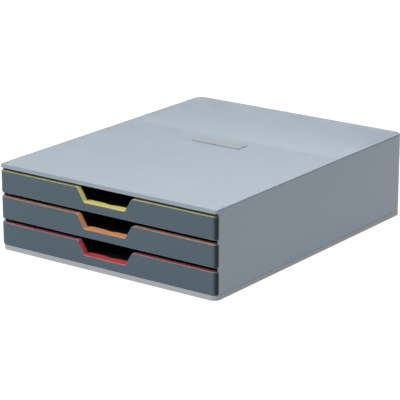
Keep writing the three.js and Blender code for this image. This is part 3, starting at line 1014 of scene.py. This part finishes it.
def build_crown(size, lid_top):
    """The rear field's shallow arc, which fades out before the sides."""
    skim = 0.004 * MM
    half = hood_high.x - size.top_edge
    front = hood_low.y + size.crown_front
    rear = hood_high.y - size.crown_margin
    along_steps, fade_steps = 48, 12
    fade = [size.crown_fade * step / fade_steps for step in range(fade_steps + 1)]
    across = [-half + inset for inset in fade] + [half - inset for inset in reversed(fade)]
    rings = []
    for step in range(along_steps + 1):
        y = front + (rear - front) * step / along_steps
        rise = 4 * size.crown_rise * (step / along_steps) * (1 - step / along_steps)
        ring = []
        for x in across:
            part = min(1.0, (half - abs(x)) / size.crown_fade)
            height = rise * part * part * (3 - 2 * part)
            ring.append(Vector((x, y, lid_top + height - skim)))
        ring.append(Vector((half, y, lid_top - size.lid / 2)))
        ring.append(Vector((-half, y, lid_top - size.lid / 2)))
        rings.append(ring)
    return loft("Crown", rings)


def badge_block(name, size, clearance, bottom, top):
    """Everything within the badge's plan between two heights."""
    low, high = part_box("badge_plate")
    corner = size.corner + clearance
    outline = plan_outline(
        high.x + clearance, low.y - clearance, high.y + clearance, corner, corner
    )
    return prism(name, "plan", outline, bottom, top)


def build_hood(box):
    size = box.hood
    half, front, rear = hood_high.x, hood_low.y, hood_high.y
    bottom = base_high.z
    lid_top = hood_high.z - size.crown_rise
    plan = (half, front, rear, size.front_corner, size.rear_corner)
    hood = rounded_slab("hood", plan, bottom, lid_top, 0, size.top_edge)
    wall = size.wall
    hollow = plan_outline(
        half - wall, front + size.lip_thickness, rear - wall, 0, size.rear_corner - wall
    )
    beyond = half + OVERRUN
    mouth = (front - OVERRUN, front + size.mouth_setback)
    cut(
        hood,
        prism("Inside", "plan", hollow, bottom - OVERRUN, lid_top - size.lid),
        block("Mouth", (-beyond, beyond), mouth, (0, lid_top - size.lip_height)),
    )
    join(hood, build_crown(size, lid_top))
    badge = box.badge
    pocket_floor = lid_top + badge.proud - badge.thickness - SEAT_GAP
    cut(hood, badge_block("Pocket", badge, SEAT_GAP, pocket_floor, lid_top + OVERRUN))
    soften(hood, size.edge, LID_FLAT)
    return hood


def build_badge(box):
    size = box.badge
    top = hood_high.z - box.hood.crown_rise + size.proud
    badge = badge_block("badge", size, 0, top - size.thickness, top)
    soften(badge, size.edge)
    return badge


# Base, feet and screws


HEAD_HEIGHT = 1.35 * MM
HEAD_EDGE = 0.35 * MM
TIP_HEIGHT = 1.0 * MM
TIP_RADIUS = 0.3 * MM


def turned_node(name):
    """Radius, lowest and highest point of a packed turned piece."""
    low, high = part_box(name)
    return (high.x - low.x) / 2, low.z, high.z


def fixing_places():
    """Centres of the four feet and of the screws over them."""
    centres = []
    for side in ("left", "right"):
        for end in ("front", "rear"):
            low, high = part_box(f"foot_{end}_{side}")
            centres.append(((low.x + high.x) / 2, (low.y + high.y) / 2))
    return centres


def rod(name, centre, radius, bottom, top):
    """An upright cylinder."""
    return lathe(name, [(radius, bottom), (radius, top)], centre)


def build_base(box):
    size = box.base
    fixings = box.fixings
    half, front, rear = base_high.x, base_low.y, base_high.y
    bottom, top = base_low.z, base_high.z
    floor_top = bottom + size.floor
    rear_corner = box.hood.rear_corner
    plan = (half, front, rear, size.front_corner, rear_corner)
    base = rounded_slab("base", plan, bottom, top, size.under_edge, 0)
    inner_half = half - size.rim
    inner_depth = rear - front - 2 * size.rim
    hollow = plan_outline(
        inner_half, front + size.rim, rear - size.rim, size.front_corner / 2, rear_corner / 2
    )
    cut(base, prism("Pan", "plan", hollow, floor_top, top + OVERRUN))
    rib_bottom = floor_top - WELD
    ribs = rib_tree()
    length_along, length_across = inner_depth + 2 * WELD, 2 * (inner_half + WELD)
    parts = []
    for number, span, rib, height in (
        (size.ribs_along, (2 * inner_half, 0), (size.rib_width, length_along), size.rib_height),
        (size.ribs_across, (0, inner_depth), (length_across, size.rib_width), size.cross_height),
    ):
        rib_size = (*rib, height + WELD)
        parts.append(run_tree(empty_piece("Ribs"), ribs, {
            "Count": number,
            "Span": (*span, 0),
            "Centre": (0, (front + rear) / 2, rib_bottom + rib_size[2] / 2),
            "Rib": rib_size,
        }))
    foot_radius, _, foot_top = turned_node("foot_front_left")
    head_radius, head_bottom, _ = turned_node("base_screw_front_left")
    seat = head_bottom + HEAD_HEIGHT
    holes = []
    for centre in fixing_places():
        parts.append(rod("Pillar", centre, fixings.pillar, rib_bottom, seat + fixings.pillar_web))
        for name, radius, height in (
            ("Foot hole", foot_radius, foot_top),
            ("Head hole", head_radius, seat),
            ("Shank hole", fixings.shank, top),
        ):
            holes.append(rod(name, centre, radius + SEAT_GAP, -OVERRUN, height))
    join(base, *parts)
    cut(base, *holes)
    soften(base, size.edge)
    return base


def lower_edge(radius, edge, bottom):
    """Profile of a turned piece's rounded lower edge."""
    return [
        (radius - edge * (1 - math.sin(turn)), bottom + edge * (1 - math.cos(turn)))
        for turn in quarter_turn(2 * SOFT_STEPS)
    ]


def set_at_corners(piece, material, sharp):
    """Sets a finished piece at the box's four corners and shades it smoothly."""
    centres = fixing_places()
    width = 2 * max(x for x, y in centres)
    depth = 2 * max(y for x, y in centres)
    run_tree(piece, corner_tree(), {"Width": width, "Depth": depth, "Material": material})
    piece.data.shade_smooth()
    piece.data.set_sharp_from_angle(angle=math.radians(sharp))
    return piece


def build_feet(box, material):
    size = box.fixings
    radius, bottom, top = turned_node("foot_front_left")
    dish_rim = radius - 2 * size.foot_edge
    dish_floor = 0.6 * dish_rim
    feet = lathe("feet", [
        (dish_floor, size.foot_dish),
        (dish_rim, bottom),
        *lower_edge(radius, size.foot_edge, bottom),
        (radius, top),
    ])
    return set_at_corners(feet, material, sharp=40)


def build_screws(box, material):
    size = box.fixings
    radius, bottom, top = turned_node("base_screw_front_left")
    seat = bottom + HEAD_HEIGHT
    screws = lathe("base_screws", [
        *lower_edge(radius, HEAD_EDGE, bottom),
        (radius, seat),
        (size.shank, seat),
        (size.shank, top - TIP_HEIGHT),
        (TIP_RADIUS, top),
    ])
    span = size.recess_width / 2
    slot = size.recess_slot / 2
    deep = (-OVERRUN, bottom + size.recess_depth)
    cut(
        screws,
        block("Slot", (-span, span), (-slot, slot), deep),
        block("Cross slot", (-slot, slot), (-span, span), deep),
    )
    clean(screws)
    return set_at_corners(screws, material, sharp=35)


# Runner frames


def build_runner(box, side):
    """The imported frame's own shape with its doubles merged and its edges rounded."""
    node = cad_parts[f"runner_frame_{side}"]
    shape = bmesh.new()
    shape.from_mesh(node.data)
    bmesh.ops.remove_doubles(shape, verts=shape.verts, dist=GRID)
    runner = new_piece(f"runner_{side}", shape)
    soften(runner, box.runner.edge)
    return runner


# Edges that follow the finger notch


class DrawerLevels:
    """Heights and reaches of one drawer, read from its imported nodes."""

    def __init__(self, place, box):
        front_low, front_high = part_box(f"drawer_front_{place}")
        strip_low, strip_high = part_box(f"colour_strip_{place}")
        tray_low, tray_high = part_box(f"drawer_tray_{place}")
        self.bottom, self.top = front_low.z, front_high.z
        self.front_half, self.front_face = front_high.x, front_low.y
        self.strip_half, self.strip_front = strip_high.x, strip_low.y
        self.tray_bottom, self.rail_top = tray_low.z, tray_high.z
        self.tray_half, self.tray_rear = tray_high.x - box.tray.inset, tray_high.y
        self.bulkhead_front = tray_low.y
        self.bulkhead_rear = tray_low.y + box.tray.bulkhead
        self.notch_depth = self.top - self.bottom - box.notch.sill


def top_edge(levels, box, inset, half):
    """Corners of the front's top edge from left to right, moved by an inset into the front."""
    notch = box.notch
    slope = (notch.top_width - notch.floor_width) / 2 / levels.notch_depth
    shift = inset * (math.hypot(1, slope) - slope)
    level = levels.top - inset
    floor = level - levels.notch_depth
    floor_half = notch.floor_width / 2 + shift
    top_half = notch.top_width / 2 + shift
    top_radius = max(notch.top_radius - inset, box.strip.thickness / 2)
    floor_radius = notch.floor_radius + inset
    return [
        (-half, level, 0),
        (-top_half, level, top_radius),
        (-floor_half, floor, floor_radius),
        (floor_half, floor, floor_radius),
        (top_half, level, top_radius),
        (half, level, 0),
    ]


def up_to_edge(levels, box, level, inset, half):
    """Everything between a level and the edge, which may lie over the level or under it."""
    return rounded_outline([
        (half, level, 0), (-half, level, 0), *top_edge(levels, box, inset, half)
    ])


def edge_band(levels, box, upper, lower, half):
    """A band that follows the edge between two insets."""
    return rounded_outline([
        *top_edge(levels, box, upper, half), *reversed(top_edge(levels, box, lower, half))
    ])


# Drawer fronts


# Places across the box, as shares of the strip's half length
SPACER_SHARES = (-0.93, -0.62, -0.13, 0.13, 0.62, 0.93)
CLIP_SHARES = (-0.8, -0.45, 0.45, 0.8)


def spans(shares, reach, width):
    """Left and right ends of equally wide pieces in a row."""
    return [(share * reach - width / 2, share * reach + width / 2) for share in shares]


def front_plan(levels, size, inset, rear=None):
    """A drawer front in plan with its rounded ends, moved inwards, and perhaps carried back."""
    end_rear = levels.front_face + size.end_depth
    right = [
        Vector((
            levels.front_half - size.end_width + (size.end_width - inset) * math.sin(turn),
            end_rear - (size.end_depth - inset) * math.cos(turn),
        ))
        for turn in quarter_turn(2 * ARC_STEPS)
    ]
    if rear:
        right.append(Vector((levels.front_half - inset, rear)))
    left = [Vector((-point.x, point.y)) for point in reversed(right)]
    return left + right


def behind_lip(levels, size, inset):
    """Everything behind a lip that follows the face plate, as far back as the tray."""
    plan = front_plan(levels, size, inset, levels.bulkhead_rear + OVERRUN)
    return prism("Behind lip", "plan", plan, levels.bottom, levels.top + OVERRUN)


def clip_places(levels):
    return [share * levels.strip_half for share in CLIP_SHARES]


def build_front(place, box):
    size = box.front
    strip = box.strip
    levels = DrawerLevels(place, box)
    half, face = levels.front_half, levels.front_face
    end_rear = face + size.end_depth
    skin_rear = face + size.skin
    above = levels.top + OVERRUN
    front = prism(f"front_{place}", "plan", front_plan(levels, size, 0), levels.bottom, above)
    profile = up_to_edge(levels, box, levels.bottom - OVERRUN, 0, half + OVERRUN)
    intersect(front, prism("Profile", "front", profile, face - OVERRUN, levels.bulkhead_rear))
    inner = half - size.end_wall
    cut(front, block(
        "Pocket", (-inner, inner), (skin_rear, end_rear + OVERRUN), (levels.bottom + size.flange, above)
    ))
    spacer_top = levels.top - levels.notch_depth - strip.thickness - strip.web - 2 * SEAT_GAP
    spacer_along = (skin_rear - WELD, levels.bulkhead_front - SEAT_GAP)
    parts = [
        block("Spacer", across, spacer_along, (levels.bottom + size.flange / 2, spacer_top))
        for across in spans(SPACER_SHARES, levels.strip_half, size.spacer)
    ]
    clip_bottom = levels.bottom + size.clip_rise
    clip_top = clip_bottom + size.clip_thickness
    barb_front = levels.bulkhead_rear + SEAT_GAP
    barb_rear = barb_front + size.clip_hook
    for across in spans(CLIP_SHARES, levels.strip_half, size.clip_width):
        parts.append(block("Clip", across, (skin_rear - WELD, barb_rear), (clip_bottom, clip_top)))
        barb = (clip_bottom, clip_top + size.clip_barb)
        parts.append(block("Barb", across, (barb_front, barb_rear), barb))
    join(front, *parts)
    strip_bottom = strip.thickness + SEAT_GAP
    seat = up_to_edge(levels, box, above, strip_bottom, levels.strip_half + SEAT_GAP)
    rebate = prism("Rebate", "front", seat, face, levels.bulkhead_front)
    cut(front, intersect(rebate, behind_lip(levels, size, size.lip)))
    soften(front, size.edge, slices=clip_places(levels))
    return front


# Coloured strips


def build_strip(place, box, tree):
    size = box.strip
    notch = box.notch
    levels = DrawerLevels(place, box)
    strip = run_tree(empty_piece(f"strip_{place}"), tree, {
        "Half length": levels.strip_half,
        "Level": levels.top,
        "Notch depth": levels.notch_depth,
        "Notch top half": notch.top_width / 2,
        "Notch floor half": notch.floor_width / 2,
        "Top radius": notch.top_radius,
        "Floor radius": notch.floor_radius,
        "Thickness": size.thickness,
        "Front": levels.front_face,
        "Rear": levels.bulkhead_rear,
        "Arc steps": ARC_STEPS,
    })
    intersect(strip, behind_lip(levels, box.front, box.front.lip + SEAT_GAP))
    half, face = levels.strip_half, levels.front_face
    band = edge_band(levels, box, size.thickness - WELD, size.thickness + size.web, half)
    web_front = face + box.front.skin + SEAT_GAP
    web = prism("Web", "front", band, web_front, levels.bulkhead_front - SEAT_GAP)
    floor = levels.top - levels.notch_depth
    shelf = prism("Shelf", "plan", shelf_outline(levels, box), floor - size.thickness, floor)
    below = up_to_edge(levels, box, levels.bottom, size.thickness, half)
    cut(shelf, prism("Below strip", "front", below, face, levels.bulkhead_rear + SEAT_GAP))
    join(strip, web, shelf)
    soften(strip, size.edge)
    return strip


def bezier(start, first, second, end):
    """Points along a cubic curve."""
    points = []
    for step in range(ARC_STEPS + 1):
        t = step / ARC_STEPS
        points.append(
            start * (1 - t) ** 3
            + first * 3 * t * (1 - t) ** 2
            + second * 3 * t * t * (1 - t)
            + end * t ** 3
        )
    return points


def shelf_outline(levels, box):
    """The grip shelf in plan: rounded rear corners and a shallow scoop in its rear edge."""
    size = box.strip
    half = box.notch.floor_width / 2 + size.shelf_wing
    rear = levels.front_face + size.shelf_depth
    scoop = size.scoop_width / 2
    deep = rear - size.scoop_depth
    front_corner = Vector((half, levels.strip_front))
    bends = ((0, deep), (scoop / 2, deep), (scoop / 2, rear), (scoop, rear))
    right = [
        *bezier(*(Vector(bend) for bend in bends)),
        *round_corner(Vector((half, rear)), Vector((0, rear)), front_corner, size.shelf_corner),
        front_corner,
    ]
    left = [Vector((-point.x, point.y)) for point in reversed(right[1:])]
    return left + right


# Trays


def build_tray(place, box):
    size = box.tray
    strip = box.strip
    levels = DrawerLevels(place, box)
    half, rear = levels.tray_half, levels.tray_rear
    front, inside = levels.bulkhead_front, levels.bulkhead_rear
    bottom, wall_top = levels.tray_bottom, levels.top - size.wall_drop
    plan = plan_outline(half, front, rear, 0, size.corner)
    tray = prism(f"tray_{place}", "plan", plan, bottom, levels.rail_top)
    above = levels.rail_top + OVERRUN
    beyond = half + OVERRUN
    rail_inner = half - size.corner
    over_walls = (wall_top, above)
    hollow = plan_outline(half - size.wall, inside, rear - size.wall, 0, size.corner - size.wall)
    cut(
        tray,
        prism("Hollow", "plan", hollow, bottom + size.floor, above),
        block("Over front", (-beyond, beyond), (front - OVERRUN, size.rail_front), over_walls),
        block(
            "Over rear",
            (-rail_inner, rail_inner),
            (size.rail_front - OVERRUN, rear + OVERRUN),
            over_walls,
        ),
        block("Front end", (-beyond, beyond), (front - OVERRUN, inside), (bottom - OVERRUN, above)),
    )
    profile = up_to_edge(levels, box, bottom, strip.thickness + SEAT_GAP, levels.strip_half)
    join(tray, prism("Bulkhead", "front", profile, front, inside))
    clip = box.front
    clip_bottom = levels.bottom + clip.clip_rise
    slot_along = (front - OVERRUN, inside + OVERRUN)
    slot_height = (clip_bottom - SEAT_GAP, clip_bottom + clip.clip_thickness + SEAT_GAP)
    slot_width = clip.clip_width + 2 * SEAT_GAP
    cut(tray, *(
        block("Slot", across, slot_along, slot_height)
        for across in spans(CLIP_SHARES, levels.strip_half, slot_width)
    ))
    soften(tray, size.edge, slices=clip_places(levels))
    return tray


# Stage


def build_floor():
    """A wide pale table top that shines softly, so that it shows no shadow."""
    shape = bmesh.new()
    bmesh.ops.create_grid(shape, x_segments=8, y_segments=8, size=6.0)
    floor = new_piece("table", shape)
    material, tree, surface = new_material("Pale table")
    cloud = spread(tree, noise(tree, object_place(tree), 3.0), 0.0, 1.0)
    tint = mixed(tree, cloud, (0.14, 0.14, 0.14), (0.15, 0.15, 0.15))
    feed(tree, surface.inputs["Base Color"], tint)
    surface.inputs["Roughness"].default_value = 0.9
    surface.inputs["Emission Color"].default_value = (1, 1, 1, 1)
    surface.inputs["Emission Strength"].default_value = 1.0
    floor.data.materials.append(material)


def area_light(name, place, target, size, power, colour=(1, 1, 1)):
    """A soft light of a size in metres and a power in watts that looks at its target."""
    data = bpy.data.lights.new(name, "AREA")
    data.shape = "RECTANGLE"
    data.size, data.size_y = size
    data.energy = power
    data.color = colour
    lamp = bpy.data.objects.new(name, data)
    bpy.context.scene.collection.objects.link(lamp)
    lamp.location = place
    aim = Vector(target) - Vector(place)
    lamp.rotation_euler = aim.to_track_quat("-Z", "Y").to_euler()


def build_lights():
    """A large light before the box and two faintly blue ones behind and over it."""
    middle = (0, 0, 0.05)
    blue = (0.9, 0.98, 1.0)
    lid_rear = (0, 0.18, 0.05)
    area_light("Front softbox", (-1.0, -3.3, 3.5), middle, size=(3.0, 2.3), power=196)
    area_light("Rear softbox", (-2.28, 2.28, 2.1), middle, (2.4, 2.0), 28, blue)
    area_light("Top softbox", (-0.2, 0.8, 1.0), lid_rear, (0.7, 0.5), 5, blue)


def build_world():
    """Pale surroundings, brightest at the table's level and to the left."""
    world = bpy.data.worlds.new("Pale room")
    bpy.context.scene.world = world
    world.use_nodes = True
    tree = world.node_tree
    outward = add(tree, "ShaderNodeTexCoord").outputs["Generated"]
    height = map_range(tree, "Height", axis_of(tree, outward, "Z"), 0.05, 0.4)
    side = map_range(tree, "To the right", axis_of(tree, outward, "X"), -0.6, 0.6)
    low = mixed(tree, side, (1.0, 1.0, 1.0), (0.04, 0.04, 0.04))
    glow = mixed(tree, height, low, (0.26, 0.31, 0.34))
    feed(tree, tree.nodes["Background"].inputs["Color"], glow)


def build_camera():
    """The photograph's place and lens, fitted to the box's straight edges."""
    azimuth, elevation = math.radians(36.13), math.radians(17.27)
    distance, shift_right, shift_up = 2.16892, 0.00763, -0.03428
    focal_pixels, image_width = 1988.79, 400
    back = Vector((
        math.sin(azimuth) * math.cos(elevation),
        -math.cos(azimuth) * math.cos(elevation),
        math.sin(elevation),
    ))
    right = Vector((math.cos(azimuth), math.sin(azimuth), 0))
    up = back.cross(right)
    data = bpy.data.cameras.new("Camera")
    data.sensor_width = 36
    data.lens = focal_pixels * data.sensor_width / image_width
    data.clip_start, data.clip_end = 0.05, 50
    camera = bpy.data.objects.new("Camera", data)
    bpy.context.scene.collection.objects.link(camera)
    turn = Matrix((right, up, back)).transposed().to_4x4()
    place = back * distance - right * shift_right - up * shift_up
    camera.matrix_world = Matrix.Translation(place) @ turn
    bpy.context.scene.camera = camera


# Operators, panel and registration


def settings():
    return bpy.context.scene.drawer_box


def nodes_named(start):
    return [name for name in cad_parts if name.startswith(start)]


def plastic(kind):
    """One of the box's plastics, by (name, colour, roughness, grain) and what else it has."""
    colours = settings().colours
    # Fronts and strips carry painted shade, and paler edges that are partly a painted highlight.
    front = {"polish": 0.8, "sheen": 0.15, "grime": END_PAINTED_SHADE}
    strip = {"polish": 0.5, "behind": tuple(colours.front)}
    finishes = {
        "hood": ("Hood plastic", colours.hood, 0.2, 0.12, {"polish": 0.5}),
        "base": ("Base plastic", colours.base, 0.42, 0.3, {}),
        "badge": ("Bare plate", colours.badge, 0.3, 0.2, {}),
        "front": ("Slate plastic", colours.front, 0.4, 0.3, front),
        "inner": ("Inner plastic", colours.inner, 0.45, 0.3, {}),
        "bottom": ("Red strip", colours.bottom_strip, 0.26, 0.15, strip),
        "middle": ("Orange strip", colours.middle_strip, 0.26, 0.15, strip),
        "top": ("Yellow strip", colours.top_strip, 0.26, 0.15, strip),
    }
    *finish, extras = finishes[kind]
    return moulded_plastic(*finish, **extras)


class DRAWERBOX_OT_hood(bpy.types.Operator):
    """Build the hood: lid, side walls and rear wall in one moulding"""

    bl_idname = "drawer_box.hood"
    bl_label = "Hood"

    def execute(self, context):
        hood = build_hood(settings())
        finish_piece(hood, plastic("hood"), "housing", "hood_grey", "housing_hood")
        return {"FINISHED"}


class DRAWERBOX_OT_badge(bpy.types.Operator):
    """Build the bare plate in the lid's sunk place"""

    bl_idname = "drawer_box.badge"
    bl_label = "Bare plate"

    def execute(self, context):
        badge = build_badge(settings())
        finish_piece(badge, plastic("badge"), "housing", "badge_grey", "badge_plate")
        return {"FINISHED"}


class DRAWERBOX_OT_base(bpy.types.Operator):
    """Build the ribbed pan that the hood stands on"""

    bl_idname = "drawer_box.base"
    bl_label = "Base"

    def execute(self, context):
        base = build_base(settings())
        finish_piece(base, plastic("base"), "housing", "base_grey", "base_pan")
        return {"FINISHED"}


class DRAWERBOX_OT_feet(bpy.types.Operator):
    """Set a rubber foot in each corner of the base"""

    bl_idname = "drawer_box.feet"
    bl_label = "Feet"

    def execute(self, context):
        rubber = foot_rubber(settings().colours.rubber)
        feet = build_feet(settings(), rubber)
        finish_piece(feet, rubber, "housing", "foot_rubber", *nodes_named("foot_"))
        return {"FINISHED"}


class DRAWERBOX_OT_screws(bpy.types.Operator):
    """Set a screw over each foot"""

    bl_idname = "drawer_box.screws"
    bl_label = "Screws"

    def execute(self, context):
        steel = zinc_plate(settings().colours.steel)
        screws = build_screws(settings(), steel)
        finish_piece(screws, steel, "housing", "screw_steel", *nodes_named("base_screw_"))
        return {"FINISHED"}


class DRAWERBOX_OT_runners(bpy.types.Operator):
    """Build the two inner side frames that carry the drawers"""

    bl_idname = "drawer_box.runners"
    bl_label = "Runner frames"

    def execute(self, context):
        for side in ("left", "right"):
            runner = build_runner(settings(), side)
            node = f"runner_frame_{side}"
            finish_piece(runner, plastic("inner"), "housing", "inner_grey", node)
        return {"FINISHED"}


class DRAWERBOX_OT_trays(bpy.types.Operator):
    """Build the three trays"""

    bl_idname = "drawer_box.trays"
    bl_label = "Trays"

    def execute(self, context):
        for place in PLACES:
            tray = build_tray(place, settings())
            node = f"drawer_tray_{place}"
            finish_piece(tray, plastic("inner"), f"{place}_drawer", "inner_grey", node)
        return {"FINISHED"}


class DRAWERBOX_OT_fronts(bpy.types.Operator):
    """Build the three drawer fronts"""

    bl_idname = "drawer_box.fronts"
    bl_label = "Drawer fronts"

    def execute(self, context):
        for place in PLACES:
            front = build_front(place, settings())
            node = f"drawer_front_{place}"
            finish_piece(front, plastic("front"), f"{place}_drawer", "front_slate", node)
        return {"FINISHED"}


class DRAWERBOX_OT_strips(bpy.types.Operator):
    """Build the coloured strip of each drawer"""

    bl_idname = "drawer_box.strips"
    bl_label = "Coloured strips"

    def execute(self, context):
        tree = strip_tree()
        slots = {"bottom": "strip_red", "middle": "strip_orange", "top": "strip_yellow"}
        for place in PLACES:
            strip = build_strip(place, settings(), tree)
            node = f"colour_strip_{place}"
            finish_piece(strip, plastic(place), f"{place}_drawer", slots[place], node)
        return {"FINISHED"}


class DRAWERBOX_OT_stage(bpy.types.Operator):
    """Set the pale table, the soft lights and the camera"""

    bl_idname = "drawer_box.stage"
    bl_label = "Stage"

    def execute(self, context):
        context.scene.view_settings.view_transform = "Standard"
        build_camera()
        build_floor()
        build_world()
        build_lights()
        return {"FINISHED"}


STEPS = (
    DRAWERBOX_OT_stage,
    DRAWERBOX_OT_hood,
    DRAWERBOX_OT_badge,
    DRAWERBOX_OT_base,
    DRAWERBOX_OT_feet,
    DRAWERBOX_OT_screws,
    DRAWERBOX_OT_runners,
    DRAWERBOX_OT_trays,
    DRAWERBOX_OT_fronts,
    DRAWERBOX_OT_strips,
)


class DRAWERBOX_PT_sidebar(bpy.types.Panel):
    """Sizes and colours of the box, and a button for each piece"""

    bl_idname = "DRAWERBOX_PT_sidebar"
    bl_label = "Drawer Box"
    bl_space_type = "VIEW_3D"
    bl_region_type = "UI"
    bl_category = "Drawer Box"

    def draw(self, context):
        box = context.scene.drawer_box
        for group in box.bl_rna.properties:
            if group.type != "POINTER" or group.identifier == "rna_type":
                continue
            column = self.layout.box().column(align=True)
            column.label(text=group.fixed_type.description)
            sizes = getattr(box, group.identifier)
            for name in sizes.__annotations__:
                column.prop(sizes, name)
        for step in STEPS:
            self.layout.operator(step.bl_idname)


GROUPS_OF_SIZES = (
    HoodSizes,
    BadgeSizes,
    BaseSizes,
    FixingSizes,
    FrontSizes,
    NotchSizes,
    StripSizes,
    TraySizes,
    RunnerSizes,
    Colours,
    DrawerBox,
)
CLASSES = (*GROUPS_OF_SIZES, *STEPS, DRAWERBOX_PT_sidebar)


def register():
    for kind in CLASSES:
        bpy.utils.register_class(kind)
    bpy.types.Scene.drawer_box = PointerProperty(type=DrawerBox)


def unregister():
    del bpy.types.Scene.drawer_box
    for kind in reversed(CLASSES):
        bpy.utils.unregister_class(kind)


def main():
    register()
    for step in STEPS:
        group, action = step.bl_idname.split(".")
        getattr(getattr(bpy.ops, group), action)()


if __name__ == "__main__":
    main()
